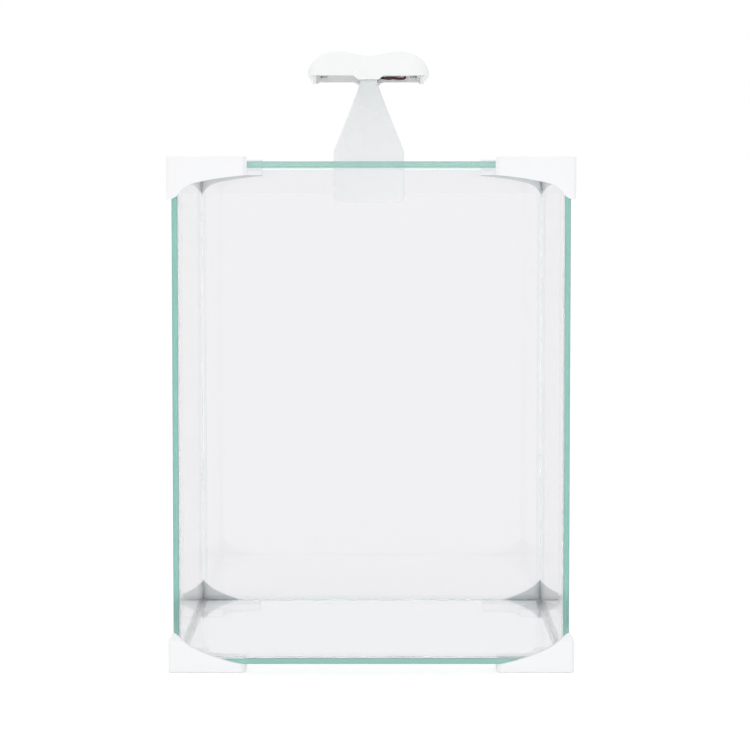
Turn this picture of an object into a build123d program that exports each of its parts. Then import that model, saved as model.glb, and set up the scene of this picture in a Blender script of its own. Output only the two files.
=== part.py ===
from build123d import *
import math
import os

# Nano aquarium: a cube of five glass panes in white corner caps, a loose cover glass, and a clip-on lamp.
# Millimetres. The origin is at the middle of the whole object's footprint, on the table.
# The front is towards -Y.

# Glass tank
tank_width = 200.0
tank_depth = 200.0
tank_height = 250.0
wall_glass = 3.0
floor_glass = 3.0
glass_edge_chamfer = 0.25

# Silicone between the panes
seam_width = 0.5
cove_size = 2.5
seam_stop_below_rim = 4.0

# Corner caps, shared sizes
cap_clearance = 0.1
cap_wall = 2.4
cap_corner_radius = 2.0
leg_end_chamfer = 2.0
leg_end_thickness = 0.6

# Top caps
top_leg = 37.8
top_web = 0.6
top_wall_above_cover = 2.4
top_ledge = 10.0
top_ledge_radius = 12.0
lip_thickness = 1.2
lip_depth = 2.8
lip_corner_gap = 8.0
top_tip_drop = 3.2
top_bend_reach = 12.0
top_bend_drop = 7.0
top_mid_rise = 0.45
top_throat_reach = 3.2
top_throat_drop = 13.4
top_column_drop = 15.4

# Bottom caps
foot_height = 4.0
bottom_leg = 36.4
bottom_ledge = 16.0
bottom_ledge_radius = 14.0
bottom_bend_reach = 12.0
bottom_bend_rise = 7.6
bottom_mid_sag = 0.9
bottom_throat_reach = 3.2
bottom_throat_rise = 14.0
bottom_column_rise = 16.5
bottom_column_slope = 4.5

# Cover glass
cover_thickness = 3.0
cover_side_gap = 1.0
cover_rear_gap = 11.0
cover_corner_radius = 1.5

# Lamp arm
lamp_shift = -1.6
arm_half_width = 20.1
arm_corner_radius = 3.0
arm_kink_radius = 9.0
arm_waist_half_width = 8.6
arm_neck_half_width = 4.85
jaw_depth_in_tank = 18.3
jaw_thickness = 5.4
arm_back_thickness = 3.6
arm_kink_height = 10.5
arm_bend_height = 18.0
arm_waist_height = 39.0
arm_lean = 11.0
arm_wall = 2.0
neck_stub_height = 1.3
neck_stub_thickness = 1.2
neck_flare = 3.4
neck_flare_height = 2.2
arm_edge_radius = 1.4

# Clip over the rear pane
liner_thickness = 1.0
liner_clearance = 0.1
liner_inset = 2.5
liner_corner_radius = 2.0
hook_half_width = 13.0
hook_bridge_thickness = 6.0
hook_jaw_thickness = 5.0
hook_jaw_drop = 18.2
hook_edge_radius = 2.0
pad_room = 5.0

# Clamp screw
screw_drop = 10.1
screw_shank_radius = 2.9
screw_tip_radius = 2.0
screw_clearance = 0.05
insert_wall = 1.1
pad_radius = 7.0
pad_thickness = 2.6
pad_clearance = 0.05
pad_socket_depth = 1.8
knob_radius = 8.0
knob_thickness = 7.0
knob_gap = 2.6
knob_lobes = 8
knob_groove_radius = 1.6

# Lamp head
head_half_width = 32.0
head_length = 110.0
head_height_above_rim = 49.5
head_side_height = 1.2
head_shoulder_inset = 3.2
head_shoulder_height = 7.6
head_crown_reach = 19.0
head_crown_height = 12.3
head_dip_height = 10.2
head_cavity_height = 8.0
head_wall = 2.5
head_inner_corner_radius = 2.0
head_corner_radius = 7.0
head_nose_radius = 6.0
head_nose_rise = 1.0
tab_half_width = 5.3
tab_slope = 2.8
tab_drop = 1.5

# Lamp head, underside frame
frame_clearance = 0.1
frame_wall = 2.4
frame_end_wall = 1.9
frame_rim_height = 1.0
frame_taper = 1.7
frame_height = 5.3
frame_recess = 3.0
skirt_thickness = 1.9
skirt_drop = 4.5
window_side_margin = 0.5
window_length = 66.0
window_front_margin = 12.0
rebate_ledge = 1.5
lens_thickness = 1.0
lens_clearance = 0.1
wire_bay_length = 10.5
wire_bay_ceiling = 1.0

# Light board and chips
board_margin = 1.5
board_thickness = 1.2
board_side_clearance = 0.1
boss_radius = 2.4
chip_width = 3.5
chip_length = 2.8
chip_height = 0.7
chip_columns = 3
chip_rows = 6
chip_pitch_across = 12.0
chip_pitch_along = 10.0

# Small screws
small_screw_radius = 1.0
small_screw_head_radius = 1.9
small_screw_head_height = 1.2
small_screw_clearance = 0.05
head_screw_side_clearance = 0.1
head_screw_front_inset = 8.5
head_screw_rear_inset = 18.5
head_screw_bite = 1.0
arm_screw_reach = 16.5
arm_screw_height = 5.0
arm_screw_upper_reach = 7.5
arm_screw_upper_height = 32.0
arm_screw_sink = 1.8
arm_screw_bite = 2.4

# Wires and cable inlet
wire_radius = 0.65
wire_half_spacing = 1.0
wire_gap = 0.3
wire_front_gap = 0.55
wire_end_inset = 2.0
wire_end_spacing = 3.0
wire_level_low = 1.9
wire_level_high = 3.4
wire_turn_radius = 1.5
wire_slot_margin = 1.0
gland_radius = 3.4
gland_flange_radius = 4.6
gland_flange_thickness = 1.6
gland_nose_length = 4.0
gland_nose_radius = 3.0
gland_bore_radius = 1.9
gland_height = 12.0
gland_clearance = 0.05

# Places worked out from the sizes above
cap_reach = cap_clearance + cap_wall
half_width = tank_width / 2
half_depth = tank_depth / 2
floor_bottom = foot_height
floor_top = floor_bottom + floor_glass
wall_bottom = floor_top + seam_width
rim = floor_bottom + tank_height
cover_bottom = rim + top_web
cover_top = cover_bottom + cover_thickness
top_cap_top = cover_top + top_wall_above_cover
hook_jaw_front = pad_room
hook_jaw_back = hook_jaw_front + hook_jaw_thickness
knob_back = hook_jaw_back + knob_gap + knob_thickness

# The clamp screw reaches further back than the caps reach forward, so the tank stands forward of the origin
tank_y = (cap_reach - knob_back) / 2
front_face = tank_y - half_depth
rear_face = tank_y + half_depth
rear_inner = rear_face - wall_glass

jaw_back = rear_inner - liner_clearance - liner_thickness
arm_front_y = jaw_back - jaw_thickness
arm_split_y = jaw_back
arm_back_y = arm_split_y + arm_back_thickness
arm_bottom = rim - jaw_depth_in_tank
arm_kink = rim + arm_kink_height
arm_bend = rim + arm_bend_height
arm_waist = rim + arm_waist_height
head_bottom = rim + head_height_above_rim
arm_rise = head_bottom - arm_bend
arm_radius = (arm_lean ** 2 + arm_rise ** 2) / (2 * arm_lean)
arm_angle = math.asin(arm_rise / arm_radius)
head_back = arm_back_y - arm_lean
head_front = head_back - head_length
head_middle = (head_front + head_back) / 2
frame_top = head_bottom + frame_height
cavity_top = head_bottom + head_cavity_height
board_bottom = cavity_top - board_thickness
frame_half_width = head_half_width - head_wall - frame_clearance
frame_front = head_front + head_wall + frame_clearance
frame_back = head_back - head_wall - frame_clearance
recess_half_width = frame_half_width - frame_wall
head_screw_reach = recess_half_width - small_screw_head_radius - head_screw_side_clearance
board_half_width = head_screw_reach - boss_radius - board_side_clearance
window_half_width = board_half_width - window_side_margin
wire_end_right = board_half_width - wire_end_inset
wire_end_left = wire_end_right - wire_end_spacing
recess_front = frame_front + frame_end_wall
recess_back = frame_back - frame_end_wall
recess_top = head_bottom + frame_recess
window_front = frame_front + window_front_margin
window_back = window_front + window_length
window_middle = (window_front + window_back) / 2
screw_z = rim - screw_drop
head_screw_places = [
    (lamp_shift + side * head_screw_reach, y)
    for side in (-1, 1)
    for y in (head_front + head_screw_front_inset, head_back - head_screw_rear_inset)
]

os.makedirs("parts", exist_ok=True)


def save(piece, name):
    piece.label = name
    export_step(piece, f"parts/{name}.step")


# Panes. The side panes run the full depth, and the front and rear panes stand between them.
def flat_pane(width, depth, bottom, height, middle_x, middle_y):
    with BuildPart(Plane.XY.offset(bottom)) as pane:
        with Locations((middle_x, middle_y)):
            Box(width, depth, height, align=(Align.CENTER, Align.CENTER, Align.MIN))
        chamfer(pane.edges(), length=glass_edge_chamfer)
    return pane.part


wall_height = rim - wall_bottom
cross_width = tank_width - 2 * wall_glass - 2 * seam_width
side_pane_x = half_width - wall_glass / 2
cross_pane_y = half_depth - wall_glass / 2
save(flat_pane(tank_width, tank_depth, floor_bottom, floor_glass, 0, tank_y), "bottom_pane")
save(flat_pane(wall_glass, tank_depth, wall_bottom, wall_height, -side_pane_x, tank_y), "left_pane")
save(flat_pane(wall_glass, tank_depth, wall_bottom, wall_height, side_pane_x, tank_y), "right_pane")
save(flat_pane(cross_width, wall_glass, wall_bottom, wall_height, 0, tank_y - cross_pane_y), "front_pane")
save(flat_pane(cross_width, wall_glass, wall_bottom, wall_height, 0, tank_y + cross_pane_y), "rear_pane")

# Silicone bead on the floor: a flat ring under the walls, and a cove along their inner faces
inner_width = tank_width - 2 * wall_glass
inner_depth = tank_depth - 2 * wall_glass
floor_cove_top = wall_bottom + cove_size
with BuildPart() as floor_seam:
    with BuildSketch(Plane.XY.offset(floor_top)):
        with Locations((0, tank_y)):
            Rectangle(tank_width - 2 * glass_edge_chamfer, tank_depth - 2 * glass_edge_chamfer)
            Rectangle(inner_width - 2 * cove_size, inner_depth - 2 * cove_size, mode=Mode.SUBTRACT)
    extrude(amount=seam_width)
    with BuildSketch(Plane.XY.offset(wall_bottom)):
        with Locations((0, tank_y)):
            Rectangle(inner_width, inner_depth)
    with BuildSketch(Plane.XY.offset(floor_cove_top)):
        with Locations((0, tank_y)):
            Rectangle(inner_width, inner_depth)
    loft()
    with BuildSketch(Plane.XY.offset(wall_bottom)):
        with Locations((0, tank_y)):
            Rectangle(inner_width - 2 * cove_size, inner_depth - 2 * cove_size)
    with BuildSketch(Plane.XY.offset(floor_cove_top)):
        with Locations((0, tank_y)):
            Rectangle(inner_width, inner_depth)
    loft(mode=Mode.SUBTRACT)
save(floor_seam.part, "floor_seam")


# Upright silicone beads: a strip between the pane ends, and a cove in the inner corner
def corner_seam(side_x, side_y):
    strip_x = side_x * (half_width - wall_glass - seam_width / 2)
    strip_y = tank_y + side_y * cross_pane_y
    corner_x = side_x * (half_width - wall_glass)
    corner_y = tank_y + side_y * (half_depth - wall_glass)
    with BuildPart() as seam:
        with BuildSketch(Plane.XY.offset(wall_bottom)):
            with Locations((strip_x, strip_y)):
                Rectangle(seam_width, wall_glass - 2 * glass_edge_chamfer)
        extrude(amount=rim - wall_bottom - glass_edge_chamfer)
        with BuildSketch(Plane.XY.offset(floor_cove_top)):
            with BuildLine():
                Polyline(
                    (corner_x - side_x * cove_size, corner_y),
                    (corner_x - side_x * seam_width, corner_y),
                    (corner_x - side_x * seam_width, corner_y + side_y * glass_edge_chamfer),
                    (corner_x, corner_y + side_y * glass_edge_chamfer),
                    (corner_x, corner_y - side_y * cove_size),
                    close=True,
                )
            make_face()
        extrude(amount=rim - seam_stop_below_rim - floor_cove_top)
    return seam.part


sides = {"left": -1, "right": 1}
ends = {"front": -1, "rear": 1}
for end, side_y in ends.items():
    for side, side_x in sides.items():
        save(corner_seam(side_x, side_y), f"corner_seam_{end}_{side}")


# The caps are built round a glass corner at the local origin, with the glass on the minus sides.
# Heights are real ones. Legs run along -X and -Y.
def leg_plan(leg, corner_radius):
    tip = cap_clearance + leg_end_thickness
    with BuildSketch() as plan:
        with BuildLine():
            Polyline(
                (-leg, cap_clearance),
                (-leg, tip),
                (-leg + leg_end_chamfer, cap_reach),
                (cap_reach, cap_reach),
                (cap_reach, -leg + leg_end_chamfer),
                (tip, -leg),
                (cap_clearance, -leg),
                (cap_clearance, cap_clearance),
                close=True,
            )
        make_face()
        fillet(plan.vertices().sort_by(lambda v: v.X + v.Y)[-1], corner_radius)
    return plan.sketch


# An L with a large rounded inner corner, reaching half into the walls so that they are one moulding
def ledge_plan(leg, ledge, inner_radius):
    overlap = cap_clearance + leg_end_thickness / 2
    with BuildSketch() as plan:
        with BuildLine():
            Polyline(
                (-leg, overlap),
                (overlap, overlap),
                (overlap, -leg),
                (-ledge, -leg),
                (-ledge, -ledge),
                (-leg, -ledge),
                close=True,
            )
        make_face()
        inner = plan.vertices().group_by(Axis.X)[1].sort_by(Axis.Y)[-1]
        fillet(inner, inner_radius)
    return plan.sketch


# The curved lower edge of a top cap, as the region below it, on the plane of one leg
def top_cut_profile():
    tip = (-top_leg, rim - top_tip_drop)
    bend = (-top_bend_reach, rim - top_bend_drop)
    middle = ((tip[0] + bend[0]) / 2, (tip[1] + bend[1]) / 2 + top_mid_rise)
    throat = (-top_throat_reach, rim - top_throat_drop)
    foot = (cap_clearance, rim - top_column_drop)
    below = rim - top_column_drop - cap_wall
    with BuildSketch() as profile:
        with BuildLine():
            long_arc = ThreePointArc(tip, middle, bend)
            TangentArc(bend, throat, tangent=long_arc % 1)
            Line(throat, foot)
            Line(foot, (foot[0], below))
            Line((foot[0], below), (tip[0] - cap_wall, below))
            Line((tip[0] - cap_wall, below), (tip[0] - cap_wall, tip[1]))
            Line((tip[0] - cap_wall, tip[1]), tip)
        make_face()
    return profile.sketch


# The curved upper edge of a bottom cap, as the region above it
def bottom_cut_profile():
    tip = (-bottom_leg, foot_height)
    bend = (-bottom_bend_reach, foot_height + bottom_bend_rise)
    middle = ((tip[0] + bend[0]) / 2, (tip[1] + bend[1]) / 2 - bottom_mid_sag)
    throat = (-bottom_throat_reach, foot_height + bottom_throat_rise)
    crest = (-cap_clearance, foot_height + bottom_column_rise)
    shoulder = (cap_reach, foot_height + bottom_column_rise - bottom_column_slope)
    above = crest[1] + cap_wall
    with BuildSketch() as profile:
        with BuildLine():
            long_arc = ThreePointArc(tip, middle, bend)
            TangentArc(bend, throat, tangent=long_arc % 1)
            Line(throat, crest)
            Line(crest, shoulder)
            Line(shoulder, (shoulder[0] + cap_wall, shoulder[1]))
            Line((shoulder[0] + cap_wall, shoulder[1]), (shoulder[0] + cap_wall, above))
            Line((shoulder[0] + cap_wall, above), (tip[0] - cap_wall, above))
            Line((tip[0] - cap_wall, above), (tip[0] - cap_wall, tip[1]))
            Line((tip[0] - cap_wall, tip[1]), tip)
        make_face()
    return profile.sketch


with BuildPart() as top_cap:
    with BuildSketch(Plane.XY.offset(rim - top_column_drop)):
        add(leg_plan(top_leg, cap_corner_radius))
    extrude(amount=top_cap_top - rim + top_column_drop)
    with BuildSketch(Plane.XZ):
        add(top_cut_profile())
    extrude(amount=top_leg + cap_reach, both=True, mode=Mode.SUBTRACT)
    with BuildSketch(Plane.YZ):
        add(top_cut_profile())
    extrude(amount=top_leg + cap_reach, both=True, mode=Mode.SUBTRACT)
    with BuildSketch(Plane.XY.offset(rim)):
        add(ledge_plan(top_leg, top_ledge, top_ledge_radius))
    extrude(amount=top_web)
    lip_back = -wall_glass - cap_clearance
    with BuildSketch(Plane.XY.offset(rim - lip_depth)):
        with BuildLine():
            Polyline(
                (lip_back, -lip_corner_gap),
                (lip_back, -top_leg),
                (lip_back - lip_thickness, -top_leg),
                (lip_back - lip_thickness, -lip_corner_gap),
                close=True,
            )
        make_face()
        with BuildLine():
            Polyline(
                (-lip_corner_gap, lip_back),
                (-top_leg, lip_back),
                (-top_leg, lip_back - lip_thickness),
                (-lip_corner_gap, lip_back - lip_thickness),
                close=True,
            )
        make_face()
    extrude(amount=lip_depth + top_web / 2)

with BuildPart() as bottom_cap:
    with BuildSketch(Plane.XY):
        add(leg_plan(bottom_leg, cap_corner_radius))
    extrude(amount=foot_height + bottom_column_rise)
    with BuildSketch(Plane.XZ):
        add(bottom_cut_profile())
    extrude(amount=bottom_leg + cap_reach, both=True, mode=Mode.SUBTRACT)
    with BuildSketch(Plane.YZ):
        add(bottom_cut_profile())
    extrude(amount=bottom_leg + cap_reach, both=True, mode=Mode.SUBTRACT)
    with BuildSketch(Plane.XY):
        add(ledge_plan(bottom_leg, bottom_ledge, bottom_ledge_radius))
    extrude(amount=foot_height)

corner_turns = {("right", "rear"): 0, ("left", "rear"): 90, ("left", "front"): 180, ("right", "front"): 270}
for (side, end), turn in corner_turns.items():
    corner = (sides[side] * half_width, tank_y + ends[end] * half_depth, 0)
    with BuildPart() as placed_top:
        with Locations(Location(corner, (0, 0, turn))):
            add(top_cap.part)
    save(placed_top.part, f"top_cap_{end}_{side}")
    with BuildPart() as placed_bottom:
        with Locations(Location(corner, (0, 0, turn))):
            add(bottom_cap.part)
    save(placed_bottom.part, f"bottom_cap_{end}_{side}")

# The cover glass lies in the caps' trays. A gap along its rear edge lets the lamp's arm and any hose through.
cover_front = front_face + cover_side_gap
cover_back = rear_face - cover_rear_gap
with BuildPart() as cover:
    with BuildSketch(Plane.XY.offset(cover_bottom)):
        with Locations((0, (cover_front + cover_back) / 2)):
            RectangleRounded(tank_width - 2 * cover_side_gap, cover_back - cover_front, cover_corner_radius)
    extrude(amount=cover_thickness)
    chamfer(cover.faces().filter_by(Axis.Z).edges(), length=glass_edge_chamfer)
save(cover.part, "cover_glass")


# Side profile of a slice of the arm between two depths. Each edge is upright to the bend,
# and then an arc that leans forward.
def arm_side_profile(front, back, bottom, top=head_bottom):
    lean_top = top - arm_bend
    forward = arm_radius - math.sqrt(arm_radius ** 2 - lean_top ** 2)
    with BuildSketch() as profile:
        with BuildLine():
            Line((front, bottom), (front, arm_bend))
            TangentArc((front, arm_bend), (front - forward, top), tangent=(0, 1))
            Line((front - forward, top), (back - forward, top))
            TangentArc((back, arm_bend), (back - forward, top), tangent=(0, 1))
            Line((back, arm_bend), (back, bottom))
            Line((back, bottom), (front, bottom))
        make_face()
    return profile.sketch


# Front outline of the arm: upright sides, a kink above the rim, and a taper to the neck
def arm_outline(bottom, corner_radius):
    slope = (arm_waist_half_width - arm_half_width, arm_waist - arm_kink)
    waist = (arm_waist_half_width, arm_waist)
    neck = (arm_neck_half_width, head_bottom)
    with BuildSketch() as outline:
        with BuildLine():
            Line((0, bottom), (arm_half_width, bottom))
            Line((arm_half_width, bottom), (arm_half_width, arm_kink))
            Line((arm_half_width, arm_kink), waist)
            TangentArc(waist, neck, tangent=slope)
            Line(neck, (0, head_bottom))
            Line((0, head_bottom), (0, bottom))
        make_face()
        kink = outline.vertices().filter_by(lambda v: abs(v.Y - arm_kink) < 0.01)
        fillet(kink, arm_kink_radius)
        if corner_radius:
            corner = outline.vertices().filter_by(lambda v: abs(v.Y - bottom) < 0.01).sort_by(Axis.X)[-1]
            fillet(corner, corner_radius)
        mirror(about=Plane.YZ)
    return outline.sketch


lamp_plane = Plane.XZ.move(Location((lamp_shift, 0, 0)))
slab_top = head_bottom + head_crown_height + head_nose_rise
gland_z = rim + gland_height
channel_bottom = gland_z - gland_radius - wire_gap
channel_half_width = wire_half_spacing + wire_radius + 2 * wire_gap
channel_y = arm_front_y + arm_wall + wire_front_gap + wire_radius
from_base = (Align.CENTER, Align.CENTER, Align.MIN)
arm_screw_places = [
    (lamp_shift + side * reach, rim + height)
    for side in (-1, 1)
    for reach, height in (
        (arm_screw_reach, arm_screw_height),
        (arm_screw_upper_reach, arm_screw_upper_height),
    )
]


# How far forward the arm has leaned at a height
def lean_at(height):
    over = max(0.0, height - arm_bend)
    return arm_radius - math.sqrt(arm_radius ** 2 - over ** 2)


# Depth of a wire where its slant up the leaning arm reaches a level above the head's underside
def wire_place(level):
    return channel_y - arm_lean - level * math.tan(arm_angle)


# A round bar along Y, from one depth to another
def bar_along_y(x, z, start, end, radius):
    with BuildPart() as bar:
        with BuildSketch(Plane(origin=(x, start, z), x_dir=(1, 0, 0), z_dir=(0, 1, 0))):
            Circle(radius)
        extrude(amount=end - start)
    return bar.part


# Pan-head screw with its seat at the plane's origin and its head on the plane's plus side
def small_screw(plane, shank_length):
    with BuildPart(plane) as screw:
        Cylinder(small_screw_head_radius, small_screw_head_height, align=from_base)
        top_face = screw.faces().sort_by(Axis(plane.origin, plane.z_dir))[-1]
        fillet(top_face.edges(), small_screw_head_height / 3)
        Cylinder(small_screw_radius, shank_length, align=(Align.CENTER, Align.CENTER, Align.MAX))
        with BuildSketch(plane.offset(small_screw_head_height)):
            Rectangle(1.6 * small_screw_radius, 0.5 * small_screw_radius)
            Rectangle(0.5 * small_screw_radius, 1.6 * small_screw_radius)
        extrude(amount=-small_screw_head_height / 2, mode=Mode.SUBTRACT)
    return screw.part


# Depth of an arm screw's seat, below the leaning rear face
def arm_screw_seat(height):
    return arm_back_y - lean_at(height) - arm_screw_sink


# Front half of the arm, with the jaw that hangs inside the tank, and a channel for the wires
with BuildPart() as wire_channel:
    with BuildSketch(Plane.YZ.offset(lamp_shift)):
        add(arm_side_profile(arm_front_y + arm_wall, arm_split_y, channel_bottom))
    extrude(amount=channel_half_width, both=True)

with BuildPart() as arm_front:
    with BuildSketch(Plane.YZ):
        add(arm_side_profile(arm_front_y, arm_split_y, arm_bottom))
    extrude(amount=2 * arm_half_width, both=True)
    with BuildSketch(lamp_plane):
        add(arm_outline(arm_bottom, arm_corner_radius))
    extrude(amount=tank_depth, both=True, mode=Mode.INTERSECT)
    front_faces = arm_front.faces().filter_by(lambda f: f.normal_at().Y < -0.5 and f.area > 100)
    front_edges = front_faces.edges().filter_by(
        lambda e: e.center().Z < head_bottom - 0.1 and abs(e.center().X - lamp_shift) > 0.5
    )
    fillet(front_edges, arm_edge_radius)
    with BuildSketch(Plane.XY.offset(head_bottom)):
        with Locations((lamp_shift, arm_front_y - arm_lean + neck_stub_thickness / 2)):
            Rectangle(2 * arm_neck_half_width, neck_stub_thickness)
    extrude(amount=neck_stub_height)
    add(wire_channel.part, mode=Mode.SUBTRACT)
    for x, z in arm_screw_places:
        seat = arm_screw_seat(z)
        end = seat - arm_back_thickness + arm_screw_sink - arm_screw_bite - small_screw_clearance
        add(bar_along_y(x, z, end, seat, small_screw_radius + small_screw_clearance), mode=Mode.SUBTRACT)
save(arm_front.part, "arm_front")

# Rear half of the arm, with the hook that goes over the glass and carries the clamp screw
insert_radius = screw_shank_radius + screw_clearance + insert_wall
with BuildPart() as arm_back:
    with BuildSketch(Plane.YZ):
        add(arm_side_profile(arm_split_y, arm_back_y, rim))
    extrude(amount=2 * arm_half_width, both=True)
    with BuildSketch(lamp_plane):
        add(arm_outline(rim, 0))
    extrude(amount=tank_depth, both=True, mode=Mode.INTERSECT)
    flare_bottom = head_bottom - neck_flare_height
    with BuildSketch(lamp_plane.offset(-head_back)):
        with BuildLine():
            Polyline(
                (-arm_neck_half_width, flare_bottom),
                (arm_neck_half_width, flare_bottom),
                (arm_neck_half_width + neck_flare, head_bottom),
                (-arm_neck_half_width - neck_flare, head_bottom),
                close=True,
            )
        make_face()
    extrude(amount=arm_back_thickness - arm_lean + lean_at(flare_bottom))
    with BuildSketch(Plane.YZ.offset(lamp_shift)) as hook_profile:
        with BuildLine():
            Polyline(
                (arm_split_y, rim),
                (rear_face + hook_jaw_front, rim),
                (rear_face + hook_jaw_front, rim - hook_jaw_drop),
                (rear_face + hook_jaw_back, rim - hook_jaw_drop),
                (rear_face + hook_jaw_back, rim + hook_bridge_thickness),
                (arm_split_y, rim + hook_bridge_thickness),
                close=True,
            )
        make_face()
        outer_corner = hook_profile.vertices().sort_by(Axis.X)[-2:].sort_by(Axis.Y)[-1]
        fillet(outer_corner, hook_bridge_thickness - hook_edge_radius)
    extrude(amount=hook_half_width, both=True)
    jaw_corners = arm_back.edges().filter_by(Axis.Y).filter_by(
        lambda e: abs(e.center().Z - rim + hook_jaw_drop) < 0.01
    )
    fillet(jaw_corners, arm_corner_radius)
    add(
        bar_along_y(lamp_shift, screw_z, rear_face, rear_face + 2 * hook_jaw_back, insert_radius),
        mode=Mode.SUBTRACT,
    )
    add(
        bar_along_y(lamp_shift, gland_z, arm_front_y, arm_back_y + gland_radius, gland_radius),
        mode=Mode.SUBTRACT,
    )
    for x, z in arm_screw_places:
        seat = arm_screw_seat(z)
        hole = small_screw_radius + small_screw_clearance
        sink = small_screw_head_radius + 2 * small_screw_clearance
        bottom = seat - arm_back_thickness
        top = seat + arm_back_thickness
        add(bar_along_y(x, z, bottom, seat, hole), mode=Mode.SUBTRACT)
        add(bar_along_y(x, z, seat, top, sink), mode=Mode.SUBTRACT)
save(arm_back.part, "arm_back")

with BuildPart() as arm_screws:
    for x, z in arm_screw_places:
        seat_plane = Plane(origin=(x, arm_screw_seat(z), z), x_dir=(1, 0, 0), z_dir=(0, 1, 0))
        add(small_screw(seat_plane, arm_back_thickness - arm_screw_sink + arm_screw_bite))
save(arm_screws.part, "arm_screws")

# Rubber liner on the jaw inside the tank
liner_height = jaw_depth_in_tank - 2 * liner_inset
with BuildPart() as jaw_liner:
    with BuildSketch(lamp_plane.offset(-jaw_back)):
        with Locations((0, rim - jaw_depth_in_tank / 2)):
            RectangleRounded(2 * (arm_half_width - liner_inset), liner_height, liner_corner_radius)
    extrude(amount=-liner_thickness)
save(jaw_liner.part, "jaw_liner")

# Threaded insert, pressure pad and clamp screw, all on one axis through the outer jaw
jaw_middle = rear_face + (hook_jaw_front + hook_jaw_back) / 2
with BuildPart() as screw_insert:
    jaw_front = jaw_middle - hook_jaw_thickness / 2
    thread_radius = screw_shank_radius + screw_clearance
    add(bar_along_y(lamp_shift, screw_z, jaw_front, jaw_front + hook_jaw_thickness, insert_radius))
    add(
        bar_along_y(lamp_shift, screw_z, rear_face, rear_face + knob_back, thread_radius),
        mode=Mode.SUBTRACT,
    )
save(screw_insert.part, "screw_insert")

pad_front = rear_face + pad_clearance
pad_back = pad_front + pad_thickness
socket_bottom = pad_back - pad_socket_depth
with BuildPart() as pressure_pad:
    add(bar_along_y(lamp_shift, screw_z, pad_front, pad_back, pad_radius))
    fillet(pressure_pad.edges().group_by(Axis.Y)[-1], pad_thickness / 4)
    add(
        bar_along_y(lamp_shift, screw_z, socket_bottom, pad_back, screw_tip_radius + screw_clearance),
        mode=Mode.SUBTRACT,
    )
save(pressure_pad.part, "pressure_pad")

shank_start = pad_back + screw_clearance
knob_front = rear_face + hook_jaw_back + knob_gap
with BuildPart() as clamp_screw:
    with BuildSketch(Plane(origin=(lamp_shift, knob_front, screw_z), x_dir=(1, 0, 0), z_dir=(0, 1, 0))):
        Circle(knob_radius)
        with PolarLocations(knob_radius, knob_lobes):
            Circle(knob_groove_radius, mode=Mode.SUBTRACT)
    extrude(amount=knob_thickness)
    chamfer(clamp_screw.edges().group_by(Axis.Y)[-1], knob_groove_radius / 2)
    add(bar_along_y(lamp_shift, screw_z, shank_start, knob_front, screw_shank_radius))
    add(bar_along_y(lamp_shift, screw_z, socket_bottom + screw_clearance, shank_start, screw_tip_radius))
save(clamp_screw.part, "clamp_screw")

# Cable gland in the rear half of the arm: the power cord's way in
with BuildPart() as cable_gland:
    add(bar_along_y(lamp_shift, gland_z, arm_split_y, arm_back_y, gland_radius - gland_clearance))
    flange_end = arm_back_y + gland_flange_thickness
    add(bar_along_y(lamp_shift, gland_z, arm_back_y, flange_end, gland_flange_radius))
    fillet(cable_gland.edges().group_by(Axis.Y)[-1], gland_flange_thickness / 3)
    nose_plane = Plane(origin=(lamp_shift, flange_end, gland_z), x_dir=(1, 0, 0), z_dir=(0, 1, 0))
    with BuildSketch(nose_plane):
        Circle(gland_nose_radius)
    extrude(amount=gland_nose_length, taper=4)
    bore_end = flange_end + gland_nose_length
    add(bar_along_y(lamp_shift, gland_z, arm_split_y, bore_end, gland_bore_radius), mode=Mode.SUBTRACT)
save(cable_gland.part, "cable_gland")


# Lamp head. Its top shell is where three outlines meet: the saddle seen from the front,
# a rounded rectangle seen from above, and a slab with a rounded nose seen from the side.
def rounded_slab(bottom, top, front, back, half_width, corner_radius):
    with BuildPart() as slab:
        with BuildSketch(Plane.XY.offset(bottom)):
            with Locations((lamp_shift, (front + back) / 2)):
                RectangleRounded(2 * half_width, back - front, corner_radius)
        extrude(amount=top - bottom)
    return slab.part


# Space inside the shell: wide at the bottom for the frame's rim, and narrower towards the ceiling
rim_reach = frame_half_width + frame_clearance
ceiling_reach = head_half_width - head_shoulder_inset - head_wall
with BuildPart() as head_cavity:
    with BuildSketch(lamp_plane.offset(-head_front)):
        with BuildLine():
            Polyline(
                (-rim_reach, head_bottom),
                (rim_reach, head_bottom),
                (rim_reach, head_bottom + frame_rim_height),
                (rim_reach - frame_taper, frame_top),
                (ceiling_reach, cavity_top),
                (-ceiling_reach, cavity_top),
                (-rim_reach + frame_taper, frame_top),
                (-rim_reach, head_bottom + frame_rim_height),
                close=True,
            )
        make_face()
    extrude(amount=-head_length)
    cavity_front = head_front + head_wall
    cavity_back = head_back - head_wall
    add(
        rounded_slab(
            head_bottom, cavity_top, cavity_front, cavity_back, rim_reach, head_corner_radius - head_wall
        ),
        mode=Mode.INTERSECT,
    )

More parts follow.
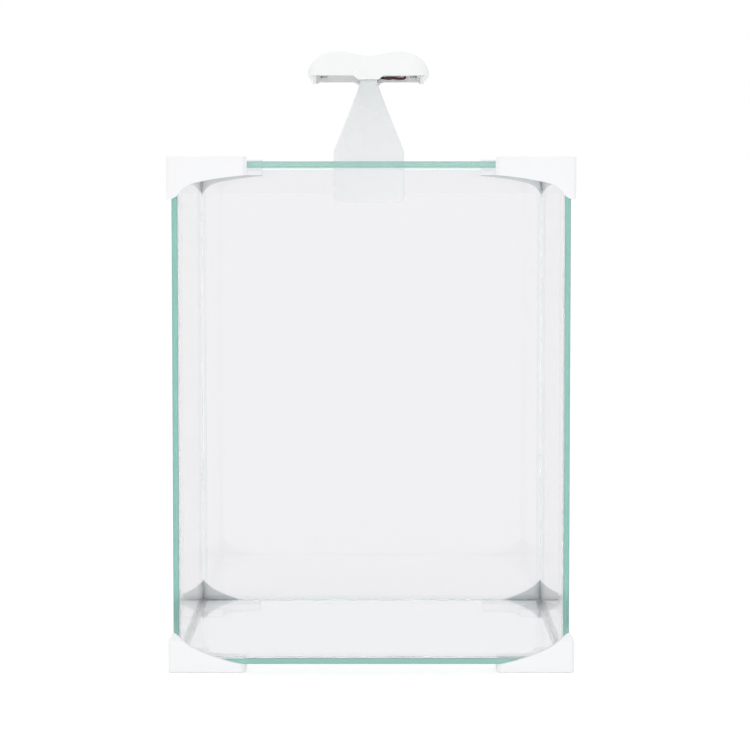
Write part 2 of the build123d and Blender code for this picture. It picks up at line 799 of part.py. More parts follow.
with BuildPart() as head_shell:
    with BuildSketch(lamp_plane.offset(-head_front)):
        with BuildLine():
            saddle = Spline(
                (-head_half_width, head_bottom + head_side_height),
                (-head_half_width + head_shoulder_inset, head_bottom + head_shoulder_height),
                (-head_crown_reach, head_bottom + head_crown_height),
                (0, head_bottom + head_dip_height),
                (head_crown_reach, head_bottom + head_crown_height),
                (head_half_width - head_shoulder_inset, head_bottom + head_shoulder_height),
                (head_half_width, head_bottom + head_side_height),
            )
            Polyline(
                (head_half_width, head_bottom + head_side_height),
                (head_half_width, head_bottom),
                (-head_half_width, head_bottom),
                (-head_half_width, head_bottom + head_side_height),
            )
        make_face()
    extrude(amount=-head_length)
    add(
        rounded_slab(head_bottom, slab_top, head_front, head_back, head_half_width, head_corner_radius),
        mode=Mode.INTERSECT,
    )
    with BuildSketch(Plane.YZ) as head_side:
        with Locations((head_middle, head_bottom)):
            Rectangle(head_length, slab_top - head_bottom, align=(Align.CENTER, Align.MIN))
        fillet(head_side.vertices().group_by(Axis.Y)[-1], head_nose_radius)
    extrude(amount=2 * head_half_width, both=True, mode=Mode.INTERSECT)
    with BuildSketch(lamp_plane.offset(-head_front)):
        with BuildLine():
            Polyline(
                (-tab_half_width - tab_slope, head_bottom),
                (tab_half_width + tab_slope, head_bottom),
                (tab_half_width, head_bottom - tab_drop),
                (-tab_half_width, head_bottom - tab_drop),
                close=True,
            )
        make_face()
    extrude(amount=-head_wall)
    add(head_cavity.part, mode=Mode.SUBTRACT)
    for x, y in head_screw_places:
        with Locations((x, y, frame_top)):
            Cylinder(boss_radius, cavity_top - frame_top + head_screw_bite, align=from_base)
            hole_depth = cavity_top - frame_top + head_screw_bite + small_screw_clearance
            Cylinder(
                small_screw_radius + small_screw_clearance, hole_depth, align=from_base, mode=Mode.SUBTRACT
            )
save(head_shell.part, "head_shell")

# Frame that closes the shell from below: a recessed underside with a window for the light,
# a deeper bay at the rear for the wires, and a skirt along each side that tapers off backwards
skirt_front = frame_front + head_corner_radius - head_wall
skirt_back = frame_back - head_corner_radius + head_wall
wire_slot_left = lamp_shift + wire_end_left - wire_radius - wire_slot_margin
wire_slot_right = lamp_shift + wire_end_right + wire_radius + wire_slot_margin
wire_slot_front = wire_place(wire_level_high) - wire_radius - wire_slot_margin
wire_slot_back = wire_place(wire_level_low) + wire_radius + wire_slot_margin
with BuildPart() as head_frame:
    with BuildSketch(lamp_plane.offset(-frame_front)):
        with BuildLine():
            Polyline(
                (-frame_half_width, head_bottom),
                (frame_half_width, head_bottom),
                (frame_half_width, head_bottom + frame_rim_height),
                (frame_half_width - frame_taper, frame_top),
                (-frame_half_width + frame_taper, frame_top),
                (-frame_half_width, head_bottom + frame_rim_height),
                close=True,
            )
        make_face()
    extrude(amount=frame_front - frame_back)
    frame_corner = head_corner_radius - head_wall - frame_clearance
    add(
        rounded_slab(head_bottom, frame_top, frame_front, frame_back, frame_half_width, frame_corner),
        mode=Mode.INTERSECT,
    )
    skirt_inner = frame_half_width - skirt_thickness
    for side in (-1, 1):
        with BuildSketch(Plane.YZ.offset(lamp_shift + side * skirt_inner)):
            with BuildLine():
                Polyline(
                    (skirt_front, head_bottom + frame_rim_height),
                    (skirt_front, head_bottom - skirt_drop),
                    (skirt_back, head_bottom),
                    (skirt_back, head_bottom + frame_rim_height),
                    close=True,
                )
            make_face()
        extrude(amount=side * skirt_thickness)
    add(
        rounded_slab(
            head_bottom, recess_top, recess_front, recess_back, recess_half_width, head_inner_corner_radius
        ),
        mode=Mode.SUBTRACT,
    )
    add(
        rounded_slab(
            head_bottom,
            frame_top - wire_bay_ceiling,
            recess_back - wire_bay_length,
            recess_back,
            recess_half_width,
            head_inner_corner_radius,
        ),
        mode=Mode.SUBTRACT,
    )
    add(
        rounded_slab(
            recess_top, frame_top, window_front, window_back, window_half_width, head_inner_corner_radius
        ),
        mode=Mode.SUBTRACT,
    )
    add(
        rounded_slab(
            frame_top - lens_thickness,
            frame_top,
            window_front - rebate_ledge,
            window_back + rebate_ledge,
            window_half_width + rebate_ledge,
            head_inner_corner_radius,
        ),
        mode=Mode.SUBTRACT,
    )
    wire_slot_x = (wire_slot_left + wire_slot_right) / 2
    wire_slot_y = (wire_slot_front + wire_slot_back) / 2
    with Locations((wire_slot_x, wire_slot_y, recess_top)):
        Box(
            wire_slot_right - wire_slot_left,
            wire_slot_back - wire_slot_front,
            frame_height,
            align=from_base,
            mode=Mode.SUBTRACT,
        )
    for x, y in head_screw_places:
        with Locations((x, y, recess_top)):
            Cylinder(
                small_screw_radius + small_screw_clearance, frame_height, align=from_base, mode=Mode.SUBTRACT
            )
save(head_frame.part, "head_frame")

with BuildPart() as head_screws:
    for x, y in head_screw_places:
        add(small_screw(
            Plane(origin=(x, y, recess_top), x_dir=(1, 0, 0), z_dir=(0, 0, -1)),
            cavity_top + head_screw_bite - recess_top,
        ))
save(head_screws.part, "head_screws")

# Clear cover in the frame's rebate, and the light board on the shell's ceiling
with BuildPart() as lens_cover:
    add(rounded_slab(
        frame_top - lens_thickness,
        frame_top,
        window_front - rebate_ledge + lens_clearance,
        window_back + rebate_ledge - lens_clearance,
        window_half_width + rebate_ledge - lens_clearance,
        head_inner_corner_radius - lens_clearance,
    ))
save(lens_cover.part, "lens_cover")

board_front = head_front + head_wall + board_margin
board_back = head_back - head_wall - board_margin
with BuildPart() as led_board:
    add(rounded_slab(
        board_bottom, cavity_top, board_front, board_back, board_half_width, head_inner_corner_radius
    ))
save(led_board.part, "led_board")

with BuildPart() as led_chips:
    with Locations((lamp_shift, window_middle, board_bottom)):
        with GridLocations(chip_pitch_across, chip_pitch_along, chip_columns, chip_rows):
            Box(chip_width, chip_length, chip_height, align=(Align.CENTER, Align.CENTER, Align.MAX))
save(led_chips.part, "led_chips")


# A wire from the gland's inner end up the arm's channel, across the bay, and up to the board
def lamp_wire(across, level, end):
    x = lamp_shift + across
    corner_z = arm_bend + arm_radius * math.tan(arm_angle / 2)
    level_y = wire_place(level)
    level_z = head_bottom + level
    with BuildPart() as wire:
        with BuildLine() as path:
            FilletPolyline(
                (x, arm_split_y, gland_z),
                (x, channel_y, gland_z),
                (x, channel_y, corner_z),
                (x, level_y, level_z),
                (lamp_shift + end, level_y, level_z),
                (lamp_shift + end, level_y, board_bottom),
                radius=[wire_turn_radius, arm_radius, wire_turn_radius, wire_turn_radius],
            )
        with BuildSketch(Plane(origin=path.line @ 0, z_dir=path.line % 0)):
            Circle(wire_radius)
        sweep(path=path.line)
    return wire.part


save(lamp_wire(wire_half_spacing, wire_level_low, wire_end_right), "red_wire")
save(lamp_wire(-wire_half_spacing, wire_level_high, wire_end_left), "black_wire")
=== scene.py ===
import math

import bmesh
import bpy
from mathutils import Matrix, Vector


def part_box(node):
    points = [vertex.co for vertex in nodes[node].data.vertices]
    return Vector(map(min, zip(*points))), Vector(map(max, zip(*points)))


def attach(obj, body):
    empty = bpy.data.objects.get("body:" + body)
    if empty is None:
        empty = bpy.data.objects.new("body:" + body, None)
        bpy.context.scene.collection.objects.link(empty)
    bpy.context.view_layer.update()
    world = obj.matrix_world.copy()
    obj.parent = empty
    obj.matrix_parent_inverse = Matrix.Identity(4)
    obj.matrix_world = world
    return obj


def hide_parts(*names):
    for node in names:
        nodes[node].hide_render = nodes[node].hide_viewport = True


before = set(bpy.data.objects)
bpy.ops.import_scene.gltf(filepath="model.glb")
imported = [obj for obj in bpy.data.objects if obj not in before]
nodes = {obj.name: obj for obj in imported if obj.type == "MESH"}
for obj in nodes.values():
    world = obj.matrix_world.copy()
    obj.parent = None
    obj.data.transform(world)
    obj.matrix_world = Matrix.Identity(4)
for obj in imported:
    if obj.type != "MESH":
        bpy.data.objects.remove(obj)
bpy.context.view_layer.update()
scene = bpy.context.scene
mm = 0.001
lampX = -1.6 * mm  # the lamp's own middle, a little left of the tank's


# Shared finish effects, each a node group built once

def newGroup(name, inputs, outputs):
    group = bpy.data.node_groups.new(name, "ShaderNodeTree")
    for label, value in inputs.items():
        socket = group.interface.new_socket(label, in_out="INPUT", socket_type="NodeSocketFloat")
        socket.default_value = value
    for label in outputs:
        group.interface.new_socket(label, in_out="OUTPUT", socket_type="NodeSocketFloat")
    return group, group.nodes.new("NodeGroupInput"), group.nodes.new("NodeGroupOutput")


def addMath(tree, operation, first, second):
    node = tree.nodes.new("ShaderNodeMath")
    node.operation = operation
    for socket, value in zip(node.inputs, (first, second)):
        if isinstance(value, (int, float)):
            socket.default_value = value
        else:
            tree.links.new(value, socket)
    return node.outputs[0]


def addNoise(tree, scale, detail, roughness=0.55):
    place = tree.nodes.new("ShaderNodeTexCoord")
    noise = tree.nodes.new("ShaderNodeTexNoise")
    noise.inputs["Detail"].default_value = detail
    noise.inputs["Roughness"].default_value = roughness
    tree.links.new(place.outputs["Object"], noise.inputs["Vector"])
    tree.links.new(scale, noise.inputs["Scale"])
    return noise.outputs["Fac"]


# Fine tooth of a spark-eroded mould, with slow swells under it
def buildMouldGrain():
    group, start, end = newGroup("mouldGrain", {"Scale": 2500.0, "Swell": 60.0}, ["Height", "Mask"])
    fineShare = 0.6
    fine = addNoise(group, start.outputs["Scale"], detail=3.0)
    slow = addNoise(group, start.outputs["Swell"], detail=2.0)
    finePart = addMath(group, "MULTIPLY", fine, fineShare)
    slowPart = addMath(group, "MULTIPLY", slow, 1 - fineShare)
    group.links.new(addMath(group, "ADD", finePart, slowPart), end.inputs["Height"])
    group.links.new(slow, end.inputs["Mask"])
    return group


# Handled and scuffed edges, broken up so that they aren't an even line
def buildEdgeWear():
    group, start, end = newGroup("edgeWear", {"Amount": 0.5, "Patch": 300.0}, ["Mask"])
    geometry = group.nodes.new("ShaderNodeNewGeometry")
    ramp = group.nodes.new("ShaderNodeMapRange")
    ramp.inputs["From Min"].default_value = 0.52
    ramp.inputs["From Max"].default_value = 0.62
    group.links.new(geometry.outputs["Pointiness"], ramp.inputs["Value"])
    patches = addNoise(group, start.outputs["Patch"], detail=4.0)
    broken = addMath(group, "MULTIPLY", ramp.outputs[0], patches)
    group.links.new(addMath(group, "MULTIPLY", broken, start.outputs["Amount"]), end.inputs["Mask"])
    return group


# Faint wiping marks and dust on smooth faces
def buildWipeMarks():
    group, start, end = newGroup("wipeMarks", {"Scale": 9.0, "Strength": 1.0}, ["Mask"])
    broad = addNoise(group, start.outputs["Scale"], detail=5.0, roughness=0.65)
    ramp = group.nodes.new("ShaderNodeMapRange")
    ramp.inputs["From Min"].default_value = 0.55
    ramp.inputs["From Max"].default_value = 0.8
    group.links.new(broad, ramp.inputs["Value"])
    faint = addMath(group, "MULTIPLY", ramp.outputs[0], start.outputs["Strength"])
    group.links.new(faint, end.inputs["Mask"])
    return group


# Fine parallel lines along one axis, as a saw, a wheel or a lathe leaves them
def buildToolLines():
    group, start, end = newGroup("toolLines", {"Scale": 900.0, "Stretch": 0.04}, ["Height"])
    place = group.nodes.new("ShaderNodeTexCoord")
    stretch = group.nodes.new("ShaderNodeVectorMath")
    stretch.operation = "MULTIPLY"
    size = group.nodes.new("ShaderNodeCombineXYZ")
    group.links.new(start.outputs["Stretch"], size.inputs["X"])
    size.inputs["Y"].default_value = 1.0
    size.inputs["Z"].default_value = 1.0
    group.links.new(place.outputs["Object"], stretch.inputs[0])
    group.links.new(size.outputs[0], stretch.inputs[1])
    noise = group.nodes.new("ShaderNodeTexNoise")
    noise.inputs["Detail"].default_value = 3.0
    group.links.new(stretch.outputs[0], noise.inputs["Vector"])
    group.links.new(start.outputs["Scale"], noise.inputs["Scale"])
    group.links.new(noise.outputs["Fac"], end.inputs["Height"])
    return group


effects = {
    "mouldGrain": buildMouldGrain(),
    "edgeWear": buildEdgeWear(),
    "wipeMarks": buildWipeMarks(),
    "toolLines": buildToolLines(),
}


# Finishes, each family with its settings below its function

finishes = {}


def addFinishes(make, settings):
    for name, values in settings.items():
        finishes[name] = make(name, **values)


def newFinish(name, **plain):
    finish = bpy.data.materials.new(name)
    finish.use_nodes = True
    shader = finish.node_tree.nodes["Principled BSDF"]
    for label, value in plain.items():
        shader.inputs[label.replace("_", " ")].default_value = value
    return finish, finish.node_tree, shader


def placeEffect(tree, name, **values):
    node = tree.nodes.new("ShaderNodeGroup")
    node.node_tree = effects[name]
    for label, value in values.items():
        node.inputs[label].default_value = value
    return node


def mixColours(tree, mask, low, high):
    mix = tree.nodes.new("ShaderNodeMix")
    mix.data_type = "RGBA"
    tree.links.new(mask, mix.inputs[0])
    for socket, value in ((mix.inputs[6], low), (mix.inputs[7], high)):
        if isinstance(value, tuple):
            socket.default_value = (*value, 1.0)
        else:
            tree.links.new(value, socket)
    return mix.outputs[2]


def spread(tree, mask, low, high):
    node = tree.nodes.new("ShaderNodeMapRange")
    node.inputs["To Min"].default_value = low
    node.inputs["To Max"].default_value = high
    tree.links.new(mask, node.inputs["Value"])
    return node.outputs[0]


def addBump(tree, shader, height, depth, strength=1.0):
    bump = tree.nodes.new("ShaderNodeBump")
    bump.inputs["Distance"].default_value = depth
    bump.inputs["Strength"].default_value = strength
    tree.links.new(height, bump.inputs["Height"])
    tree.links.new(bump.outputs[0], shader.inputs["Normal"])


# Glass and silicone let light through to what stands behind them, tinted but not shadowed
def passLight(tree, shader, tint):
    path = tree.nodes.new("ShaderNodeLightPath")
    clear = tree.nodes.new("ShaderNodeBsdfTransparent")
    clear.inputs["Color"].default_value = (*tint, 1.0)
    mix = tree.nodes.new("ShaderNodeMixShader")
    unseen = addMath(tree, "MAXIMUM", path.outputs["Is Shadow Ray"], path.outputs["Is Diffuse Ray"])
    tree.links.new(unseen, mix.inputs[0])
    tree.links.new(shader.outputs[0], mix.inputs[1])
    tree.links.new(clear.outputs[0], mix.inputs[2])
    tree.links.new(mix.outputs[0], tree.nodes["Material Output"].inputs["Surface"])


# Polished float glass, clean but for the faintest wiping marks
def polishedGlass(name, tint, marked):
    finish, tree, shader = newFinish(name, Transmission_Weight=1.0, IOR=1.5)
    marks = placeEffect(tree, "wipeMarks", Scale=14.0).outputs["Mask"]
    tree.links.new(mixColours(tree, marks, tint, marked), shader.inputs["Base Color"])
    tree.links.new(spread(tree, marks, low=0.0, high=0.003), shader.inputs["Roughness"])
    passLight(tree, shader, tint=(0.975, 0.985, 0.985))
    return finish


addFinishes(polishedGlass, {
    "frontGlass": {"tint": (0.997, 0.996, 0.999), "marked": (0.99, 0.99, 0.994)},
    # Painted shade: the rear pane is the same glass as the front but given a much darker tint, which greys
    # what is seen through the tank
    "rearGlassPaintedShade": {"tint": (0.855, 0.85, 0.864), "marked": (0.848, 0.843, 0.858)},
    "sideGlass": {"tint": (0.995, 0.997, 0.999), "marked": (0.99, 0.993, 0.996)},
})


# A glass face wetted by silicone: nearly all light crosses it without a mirror's flash
def wettedGlass(name, tint, marked):
    finish, tree, shader = newFinish(name, Transmission_Weight=1.0, IOR=1.5)
    marks = placeEffect(tree, "wipeMarks", Scale=60.0).outputs["Mask"]
    tree.links.new(mixColours(tree, marks, tint, marked), shader.inputs["Base Color"])
    tree.links.new(spread(tree, marks, low=0.02, high=0.1), shader.inputs["Roughness"])
    tree.links.new(spread(tree, marks, low=0.12, high=0.22), shader.inputs["Alpha"])
    passLight(tree, shader, tint=(0.98, 0.985, 0.985))
    return finish


addFinishes(wettedGlass, {"wettedGlass": {"tint": (0.95, 0.97, 0.97), "marked": (0.9, 0.93, 0.93)}})


# The sawn and ground edge, where the glass shows its green
def groundEdge(name, base, drift, rough, clear):
    finish, tree, shader = newFinish(name, Transmission_Weight=clear, IOR=1.5)
    lines = placeEffect(tree, "toolLines", Scale=1400.0, Stretch=0.05).outputs["Height"]
    marks = placeEffect(tree, "wipeMarks", Scale=40.0).outputs["Mask"]
    tree.links.new(mixColours(tree, marks, base, drift), shader.inputs["Base Color"])
    tree.links.new(spread(tree, lines, *rough), shader.inputs["Roughness"])
    addBump(tree, shader, lines, depth=0.02 * mm, strength=0.4)
    passLight(tree, shader, tint=(0.8, 0.92, 0.9))
    return finish


addFinishes(groundEdge, {
    "cutEdge": {
        "base": (0.31, 0.63, 0.57), "drift": (0.26, 0.58, 0.52), "rough": (0.12, 0.3), "clear": 0.5,
    },
    # Painted light: the floor pane's cut edge is a lighter copy of the cut edge with less light through it,
    # brightening a strip that lies in shade by the table
    "floorCutEdgePaintedLight": {
        "base": (0.34, 0.66, 0.58), "drift": (0.29, 0.61, 0.53), "rough": (0.12, 0.3), "clear": 0.2,
    },
    # Painted light: the cover's cut edge is a lighter copy of the same green glass edge, standing for the
    # extra light that falls on it
    "coverCutEdgePaintedLight": {
        "base": (0.41, 0.67, 0.6), "drift": (0.36, 0.63, 0.56), "rough": (0.12, 0.3), "clear": 0.5,
    },
    "edgeBevel": {
        "base": (0.6, 0.83, 0.79), "drift": (0.52, 0.78, 0.74), "rough": (0.3, 0.5), "clear": 0.6,
    },
})


# Cured clear silicone, with a slightly rippled skin
def clearSilicone():
    finish, tree, shader = newFinish("clearSilicone", Transmission_Weight=0.98, IOR=1.06)
    grain = placeEffect(tree, "mouldGrain", Scale=220.0, Swell=35.0)
    mask = grain.outputs["Mask"]
    tint = mixColours(tree, mask, low=(0.93, 0.945, 0.95), high=(0.88, 0.9, 0.905))
    tree.links.new(tint, shader.inputs["Base Color"])
    tree.links.new(spread(tree, mask, low=0.08, high=0.22), shader.inputs["Roughness"])
    tree.links.new(spread(tree, mask, low=0.3, high=0.55), shader.inputs["Alpha"])
    addBump(tree, shader, grain.outputs["Height"], depth=0.2 * mm, strength=0.5)
    passLight(tree, shader, tint=(0.98, 0.985, 0.985))
    return finish


finishes["silicone"] = clearSilicone()


# A moulded plastic or rubber: grain, slow colour drift and, where it is handled, worn edges
def mouldedFinish(name, base, drift, rough, grainScale, grainDepth, edge=None, wear=0.0, **plain):
    finish, tree, shader = newFinish(name, **plain)
    grain = placeEffect(tree, "mouldGrain", Scale=grainScale)
    colour = mixColours(tree, grain.outputs["Mask"], base, drift)
    if wear > 0:
        edges = placeEffect(tree, "edgeWear", Amount=wear)
        colour = mixColours(tree, edges.outputs["Mask"], colour, edge)
    tree.links.new(colour, shader.inputs["Base Color"])
    tree.links.new(spread(tree, grain.outputs["Mask"], *rough), shader.inputs["Roughness"])
    addBump(tree, shader, grain.outputs["Height"], grainDepth)
    return finish


addFinishes(mouldedFinish, {
    "capWhite": {
        "base": (0.91, 0.91, 0.92), "drift": (0.885, 0.888, 0.9), "rough": (0.34, 0.5),
        "grainScale": 2600.0, "grainDepth": 0.035 * mm, "Specular_IOR_Level": 0.45,
    },
    "lampWhite": {
        "base": (0.915, 0.912, 0.915), "drift": (0.895, 0.893, 0.897), "rough": (0.2, 0.32),
        "grainScale": 900.0, "grainDepth": 0.0008 * mm, "Coat_Weight": 0.15, "Coat_Roughness": 0.12,
    },
    "frameGrey": {
        "base": (0.84, 0.835, 0.84), "drift": (0.815, 0.81, 0.815), "rough": (0.5, 0.68),
        "grainScale": 1800.0, "grainDepth": 0.0008 * mm,
    },
    "knobWhite": {
        "base": (0.85, 0.85, 0.865), "drift": (0.8, 0.8, 0.82), "rough": (0.35, 0.5),
        "grainScale": 2200.0, "grainDepth": 0.04 * mm, "edge": (0.92, 0.92, 0.92), "wear": 0.7,
    },
    "padGrey": {
        "base": (0.26, 0.265, 0.27), "drift": (0.22, 0.225, 0.23), "rough": (0.62, 0.8),
        "grainScale": 1500.0, "grainDepth": 0.08 * mm, "edge": (0.34, 0.34, 0.35), "wear": 0.6,
    },
    "glandBlack": {
        "base": (0.018, 0.018, 0.02), "drift": (0.03, 0.03, 0.032), "rough": (0.5, 0.7),
        "grainScale": 1500.0, "grainDepth": 0.06 * mm, "edge": (0.08, 0.08, 0.08), "wear": 0.6,
    },
    "boardMask": {
        "base": (0.74, 0.74, 0.71), "drift": (0.68, 0.68, 0.65), "rough": (0.22, 0.4),
        "grainScale": 700.0, "grainDepth": 0.02 * mm, "edge": (0.5, 0.4, 0.22), "wear": 0.3,
        "Coat_Weight": 0.3, "Coat_Roughness": 0.2,
    },
    "chipBody": {
        "base": (0.8, 0.79, 0.74), "drift": (0.76, 0.75, 0.7), "rough": (0.4, 0.55),
        "grainScale": 2500.0, "grainDepth": 0.01 * mm, "edge": (0.86, 0.85, 0.8), "wear": 0.3,
    },
    "phosphor": {
        "base": (0.86, 0.66, 0.12), "drift": (0.8, 0.56, 0.08), "rough": (0.25, 0.45),
        "grainScale": 3200.0, "grainDepth": 0.02 * mm, "edge": (0.92, 0.76, 0.3), "wear": 0.2,
        "Coat_Weight": 0.6, "Coat_Roughness": 0.1,
    },
    "redWire": {
        "base": (0.1, 0.008, 0.012), "drift": (0.06, 0.006, 0.009), "rough": (0.28, 0.42),
        "grainScale": 900.0, "grainDepth": 0.03 * mm, "edge": (0.22, 0.05, 0.06), "wear": 0.3,
    },
    "darkWire": {
        "base": (0.04, 0.01, 0.016), "drift": (0.025, 0.007, 0.01), "rough": (0.28, 0.42),
        "grainScale": 900.0, "grainDepth": 0.03 * mm, "edge": (0.1, 0.05, 0.06), "wear": 0.3,
    },
})


# Turned, pressed or plated metal, with its tool lines and brighter worn edges
def metalFinish(name, base, drift, rough, lineScale, depth):
    finish, tree, shader = newFinish(name, Metallic=1.0)
    lines = placeEffect(tree, "toolLines", Scale=lineScale).outputs["Height"]
    edges = placeEffect(tree, "edgeWear", Amount=0.7).outputs["Mask"]
    bright = tuple(min(1.0, 1.12 * part) for part in base)
    colour = mixColours(tree, edges, mixColours(tree, lines, base, drift), bright)
    tree.links.new(colour, shader.inputs["Base Color"])
    tree.links.new(spread(tree, lines, *rough), shader.inputs["Roughness"])
    addBump(tree, shader, lines, depth)
    return finish


addFinishes(metalFinish, {
    "screwSteel": {
        "base": (0.62, 0.63, 0.64), "drift": (0.5, 0.51, 0.53), "rough": (0.24, 0.42),
        "lineScale": 2600.0, "depth": 0.01 * mm,
    },
    "turnedBrass": {
        "base": (0.72, 0.5, 0.2), "drift": (0.6, 0.4, 0.14), "rough": (0.2, 0.36),
        "lineScale": 2000.0, "depth": 0.01 * mm,
    },
    "solder": {
        "base": (0.66, 0.67, 0.68), "drift": (0.55, 0.56, 0.58), "rough": (0.18, 0.4),
        "lineScale": 1200.0, "depth": 0.03 * mm,
    },
    "copperPad": {
        "base": (0.8, 0.55, 0.3), "drift": (0.7, 0.45, 0.22), "rough": (0.2, 0.35),
        "lineScale": 1500.0, "depth": 0.01 * mm,
    },
})


# The lens is frosted, so it blurs what is behind it
def frostedLens():
    finish, tree, shader = newFinish("frostedLens", Transmission_Weight=0.75, IOR=1.49)
    grain = placeEffect(tree, "mouldGrain", Scale=3000.0, Swell=90.0)
    mask = grain.outputs["Mask"]
    tint = mixColours(tree, mask, low=(0.9, 0.91, 0.92), high=(0.85, 0.87, 0.885))
    tree.links.new(tint, shader.inputs["Base Color"])
    tree.links.new(spread(tree, mask, low=0.3, high=0.45), shader.inputs["Roughness"])
    addBump(tree, shader, grain.outputs["Height"], depth=0.05 * mm)
    return finish


finishes["frostedLens"] = frostedLens()
print("finishes made")


# Mesh tools

shading = {
    "flatArea": 15e-6,  # square metres, from which a flat patch counts as broad
    "flatWeight": 1000.0,  # how much more a broad patch says in a shared normal
    "flatAngle": 0.002,
    "noAngle": 4.0,  # for faces too thin to have a normal, more than any real angle
}


# Numbers the flat patches of a mesh and adds up the area of each
def findFlatPatches(bm):
    patchOf, areas = {}, []
    for face in bm.faces:
        if face.index in patchOf:
            continue
        waiting, area = [face], 0.0
        patchOf[face.index] = len(areas)
        while waiting:
            current = waiting.pop()
            area += current.calc_area()
            for other in [near for edge in current.edges for near in edge.link_faces]:
                if other.index in patchOf:
                    continue
                if other.normal.angle(face.normal, shading["noAngle"]) <= shading["flatAngle"]:
                    patchOf[other.index] = len(areas)
                    waiting.append(other)
        areas.append(area)
    return patchOf, areas


# Normals that keep broad flat faces flat, and blend curves by their corners' angles
def setCleanNormals(mesh, limit):
    bm = bmesh.new()
    bm.from_mesh(mesh)
    patchOf, areas = findFlatPatches(bm)
    normals = []
    for face in bm.faces:
        for loop in face.loops:
            total = Vector((0, 0, 0))
            for other in loop.vert.link_loops:
                if other.face.normal.angle(face.normal, shading["noAngle"]) < limit:
                    isBroad = areas[patchOf[other.face.index]] > shading["flatArea"]
                    weight = shading["flatWeight"] if isBroad else 1.0
                    total += other.face.normal * other.calc_angle() * weight
            normals.append(total.normalized() if total.length > 0 else face.normal.copy())
    bm.free()
    mesh.normals_split_custom_set(normals)


# Turns a finished mesh into a piece. Edges sharper than smooth, in degrees, stay sharp.
def makePiece(name, bm, body, cadNodes, finishNames, smooth=38, cleanNormals=True):
    mesh = bpy.data.meshes.new(name)
    bmesh.ops.recalc_face_normals(bm, faces=bm.faces)
    bm.to_mesh(mesh)
    bm.free()
    for finishName in finishNames:
        mesh.materials.append(finishes[finishName])
    mesh.polygons.foreach_set("use_smooth", [True] * len(mesh.polygons))
    mesh.set_sharp_from_angle(angle=math.radians(smooth))
    piece = bpy.data.objects.new(name, mesh)
    scene.collection.objects.link(piece)
    if cleanNormals:
        setCleanNormals(mesh, math.radians(smooth))
    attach(piece, body)
    if cadNodes:
        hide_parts(*cadNodes)


easing = {"weld": 0.003 * mm, "flatAngle": 0.6, "sharpAngle": 32, "shortest": 0.2}


# A CAD moulding with its sharp outer edges eased. A radius of 0 keeps the edges that the CAD model eases.
def easedCopy(node, radius, segments=2):
    bm = bmesh.new()
    bm.from_mesh(nodes[node].data)
    bmesh.ops.remove_doubles(bm, verts=bm.verts, dist=easing["weld"])
    if radius > 0:
        bmesh.ops.dissolve_limit(
            bm, angle_limit=math.radians(easing["flatAngle"]), verts=bm.verts, edges=bm.edges,
        )
        bm.normal_update()
        outer = [
            edge for edge in bm.edges
            if len(edge.link_faces) == 2
            and edge.calc_face_angle_signed(0.0) > math.radians(easing["sharpAngle"])
            and edge.calc_length() > easing["shortest"] * radius
        ]
        bmesh.ops.bevel(
            bm, geom=outer, offset=radius, offset_type="OFFSET", segments=segments, profile=0.5,
            affect="EDGES", clamp_overlap=False, miter_outer="ARC",
        )
    bmesh.ops.triangulate(bm, faces=[face for face in bm.faces if len(face.verts) > 4])
    clean = bmesh.new()
    made = []
    low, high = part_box(node)
    bm.verts.index_update()
    for vert in bm.verts:  # no corner leaves the CAD piece's box
        made.append(clean.verts.new([min(max(vert.co[axis], low[axis]), high[axis]) for axis in range(3)]))
    for face in bm.faces:
        try:
            clean.faces.new([made[vert.index] for vert in face.verts])
        except ValueError:  # the same face twice, which the easing can leave at a thin spot
            pass
    bm.free()
    return clean


# Four-sided faces from each ring of corners to the next, given back row by row
def joinRings(bm, rings):
    rows = []
    for ringA, ringB in zip(rings, rings[1:]):
        row = []
        for step in range(len(ringA)):
            after = (step + 1) % len(ringA)
            row.append(bm.faces.new((ringA[step], ringA[after], ringB[after], ringB[step])))
        rows.append(row)
    return rows


def closeEnds(bm, rings):
    bm.faces.new(rings[0])
    bm.faces.new(rings[-1])


def levelRing(bm, spots, z):
    return [bm.verts.new((x, y, z)) for x, y in spots]


# A ring of corners round an axis along Y in the lamp's middle, with a reach for each corner
def ringRound(bm, y, centreZ, reaches):
    ring = []
    for step, reach in enumerate(reaches):
        angle = 2 * math.pi * step / len(reaches)
        spot = (lampX + reach * math.cos(angle), y, centreZ + reach * math.sin(angle))
        ring.append(bm.verts.new(spot))
    return ring


# A solid of revolution from places along Y and radii, closed at its ends or, for a hollow one, on itself
def turnedSolid(profile, centreZ, steps, hollow=False):
    bm = bmesh.new()
    rings = [ringRound(bm, y, centreZ, [radius] * steps) for y, radius in profile]
    joinRings(bm, rings)
    if hollow:
        joinRings(bm, [rings[-1], rings[0]])
    else:
        closeEnds(bm, rings)
    return bm


# Glass panes and the cover

glassCut = {
    "bevel": 0.3 * mm,
    "coverCorner": 1.5 * mm,
    "cornerSteps": 6,
    "cornerLeft": 0.05 * mm,  # what the bevel leaves of a pane's sharp corner
    "facing": 0.5,  # how squarely a face has to look towards the silicone to be wetted
}


def slabOutline(halfA, halfB, corner, inset, steps):
    points = []
    corner = max(corner, glassCut["bevel"])
    reach = corner - inset if corner > inset else glassCut["cornerLeft"]
    for signA, signB, turn in ((1, 1, 0), (-1, 1, 90), (-1, -1, 180), (1, -1, 270)):
        for step in range(steps + 1):
            angle = math.radians(turn + 90 * step / steps)
            a = signA * (halfA - corner) + reach * math.cos(angle)
            b = signB * (halfB - corner) + reach * math.sin(angle)
            points.append((a, b))
    return points


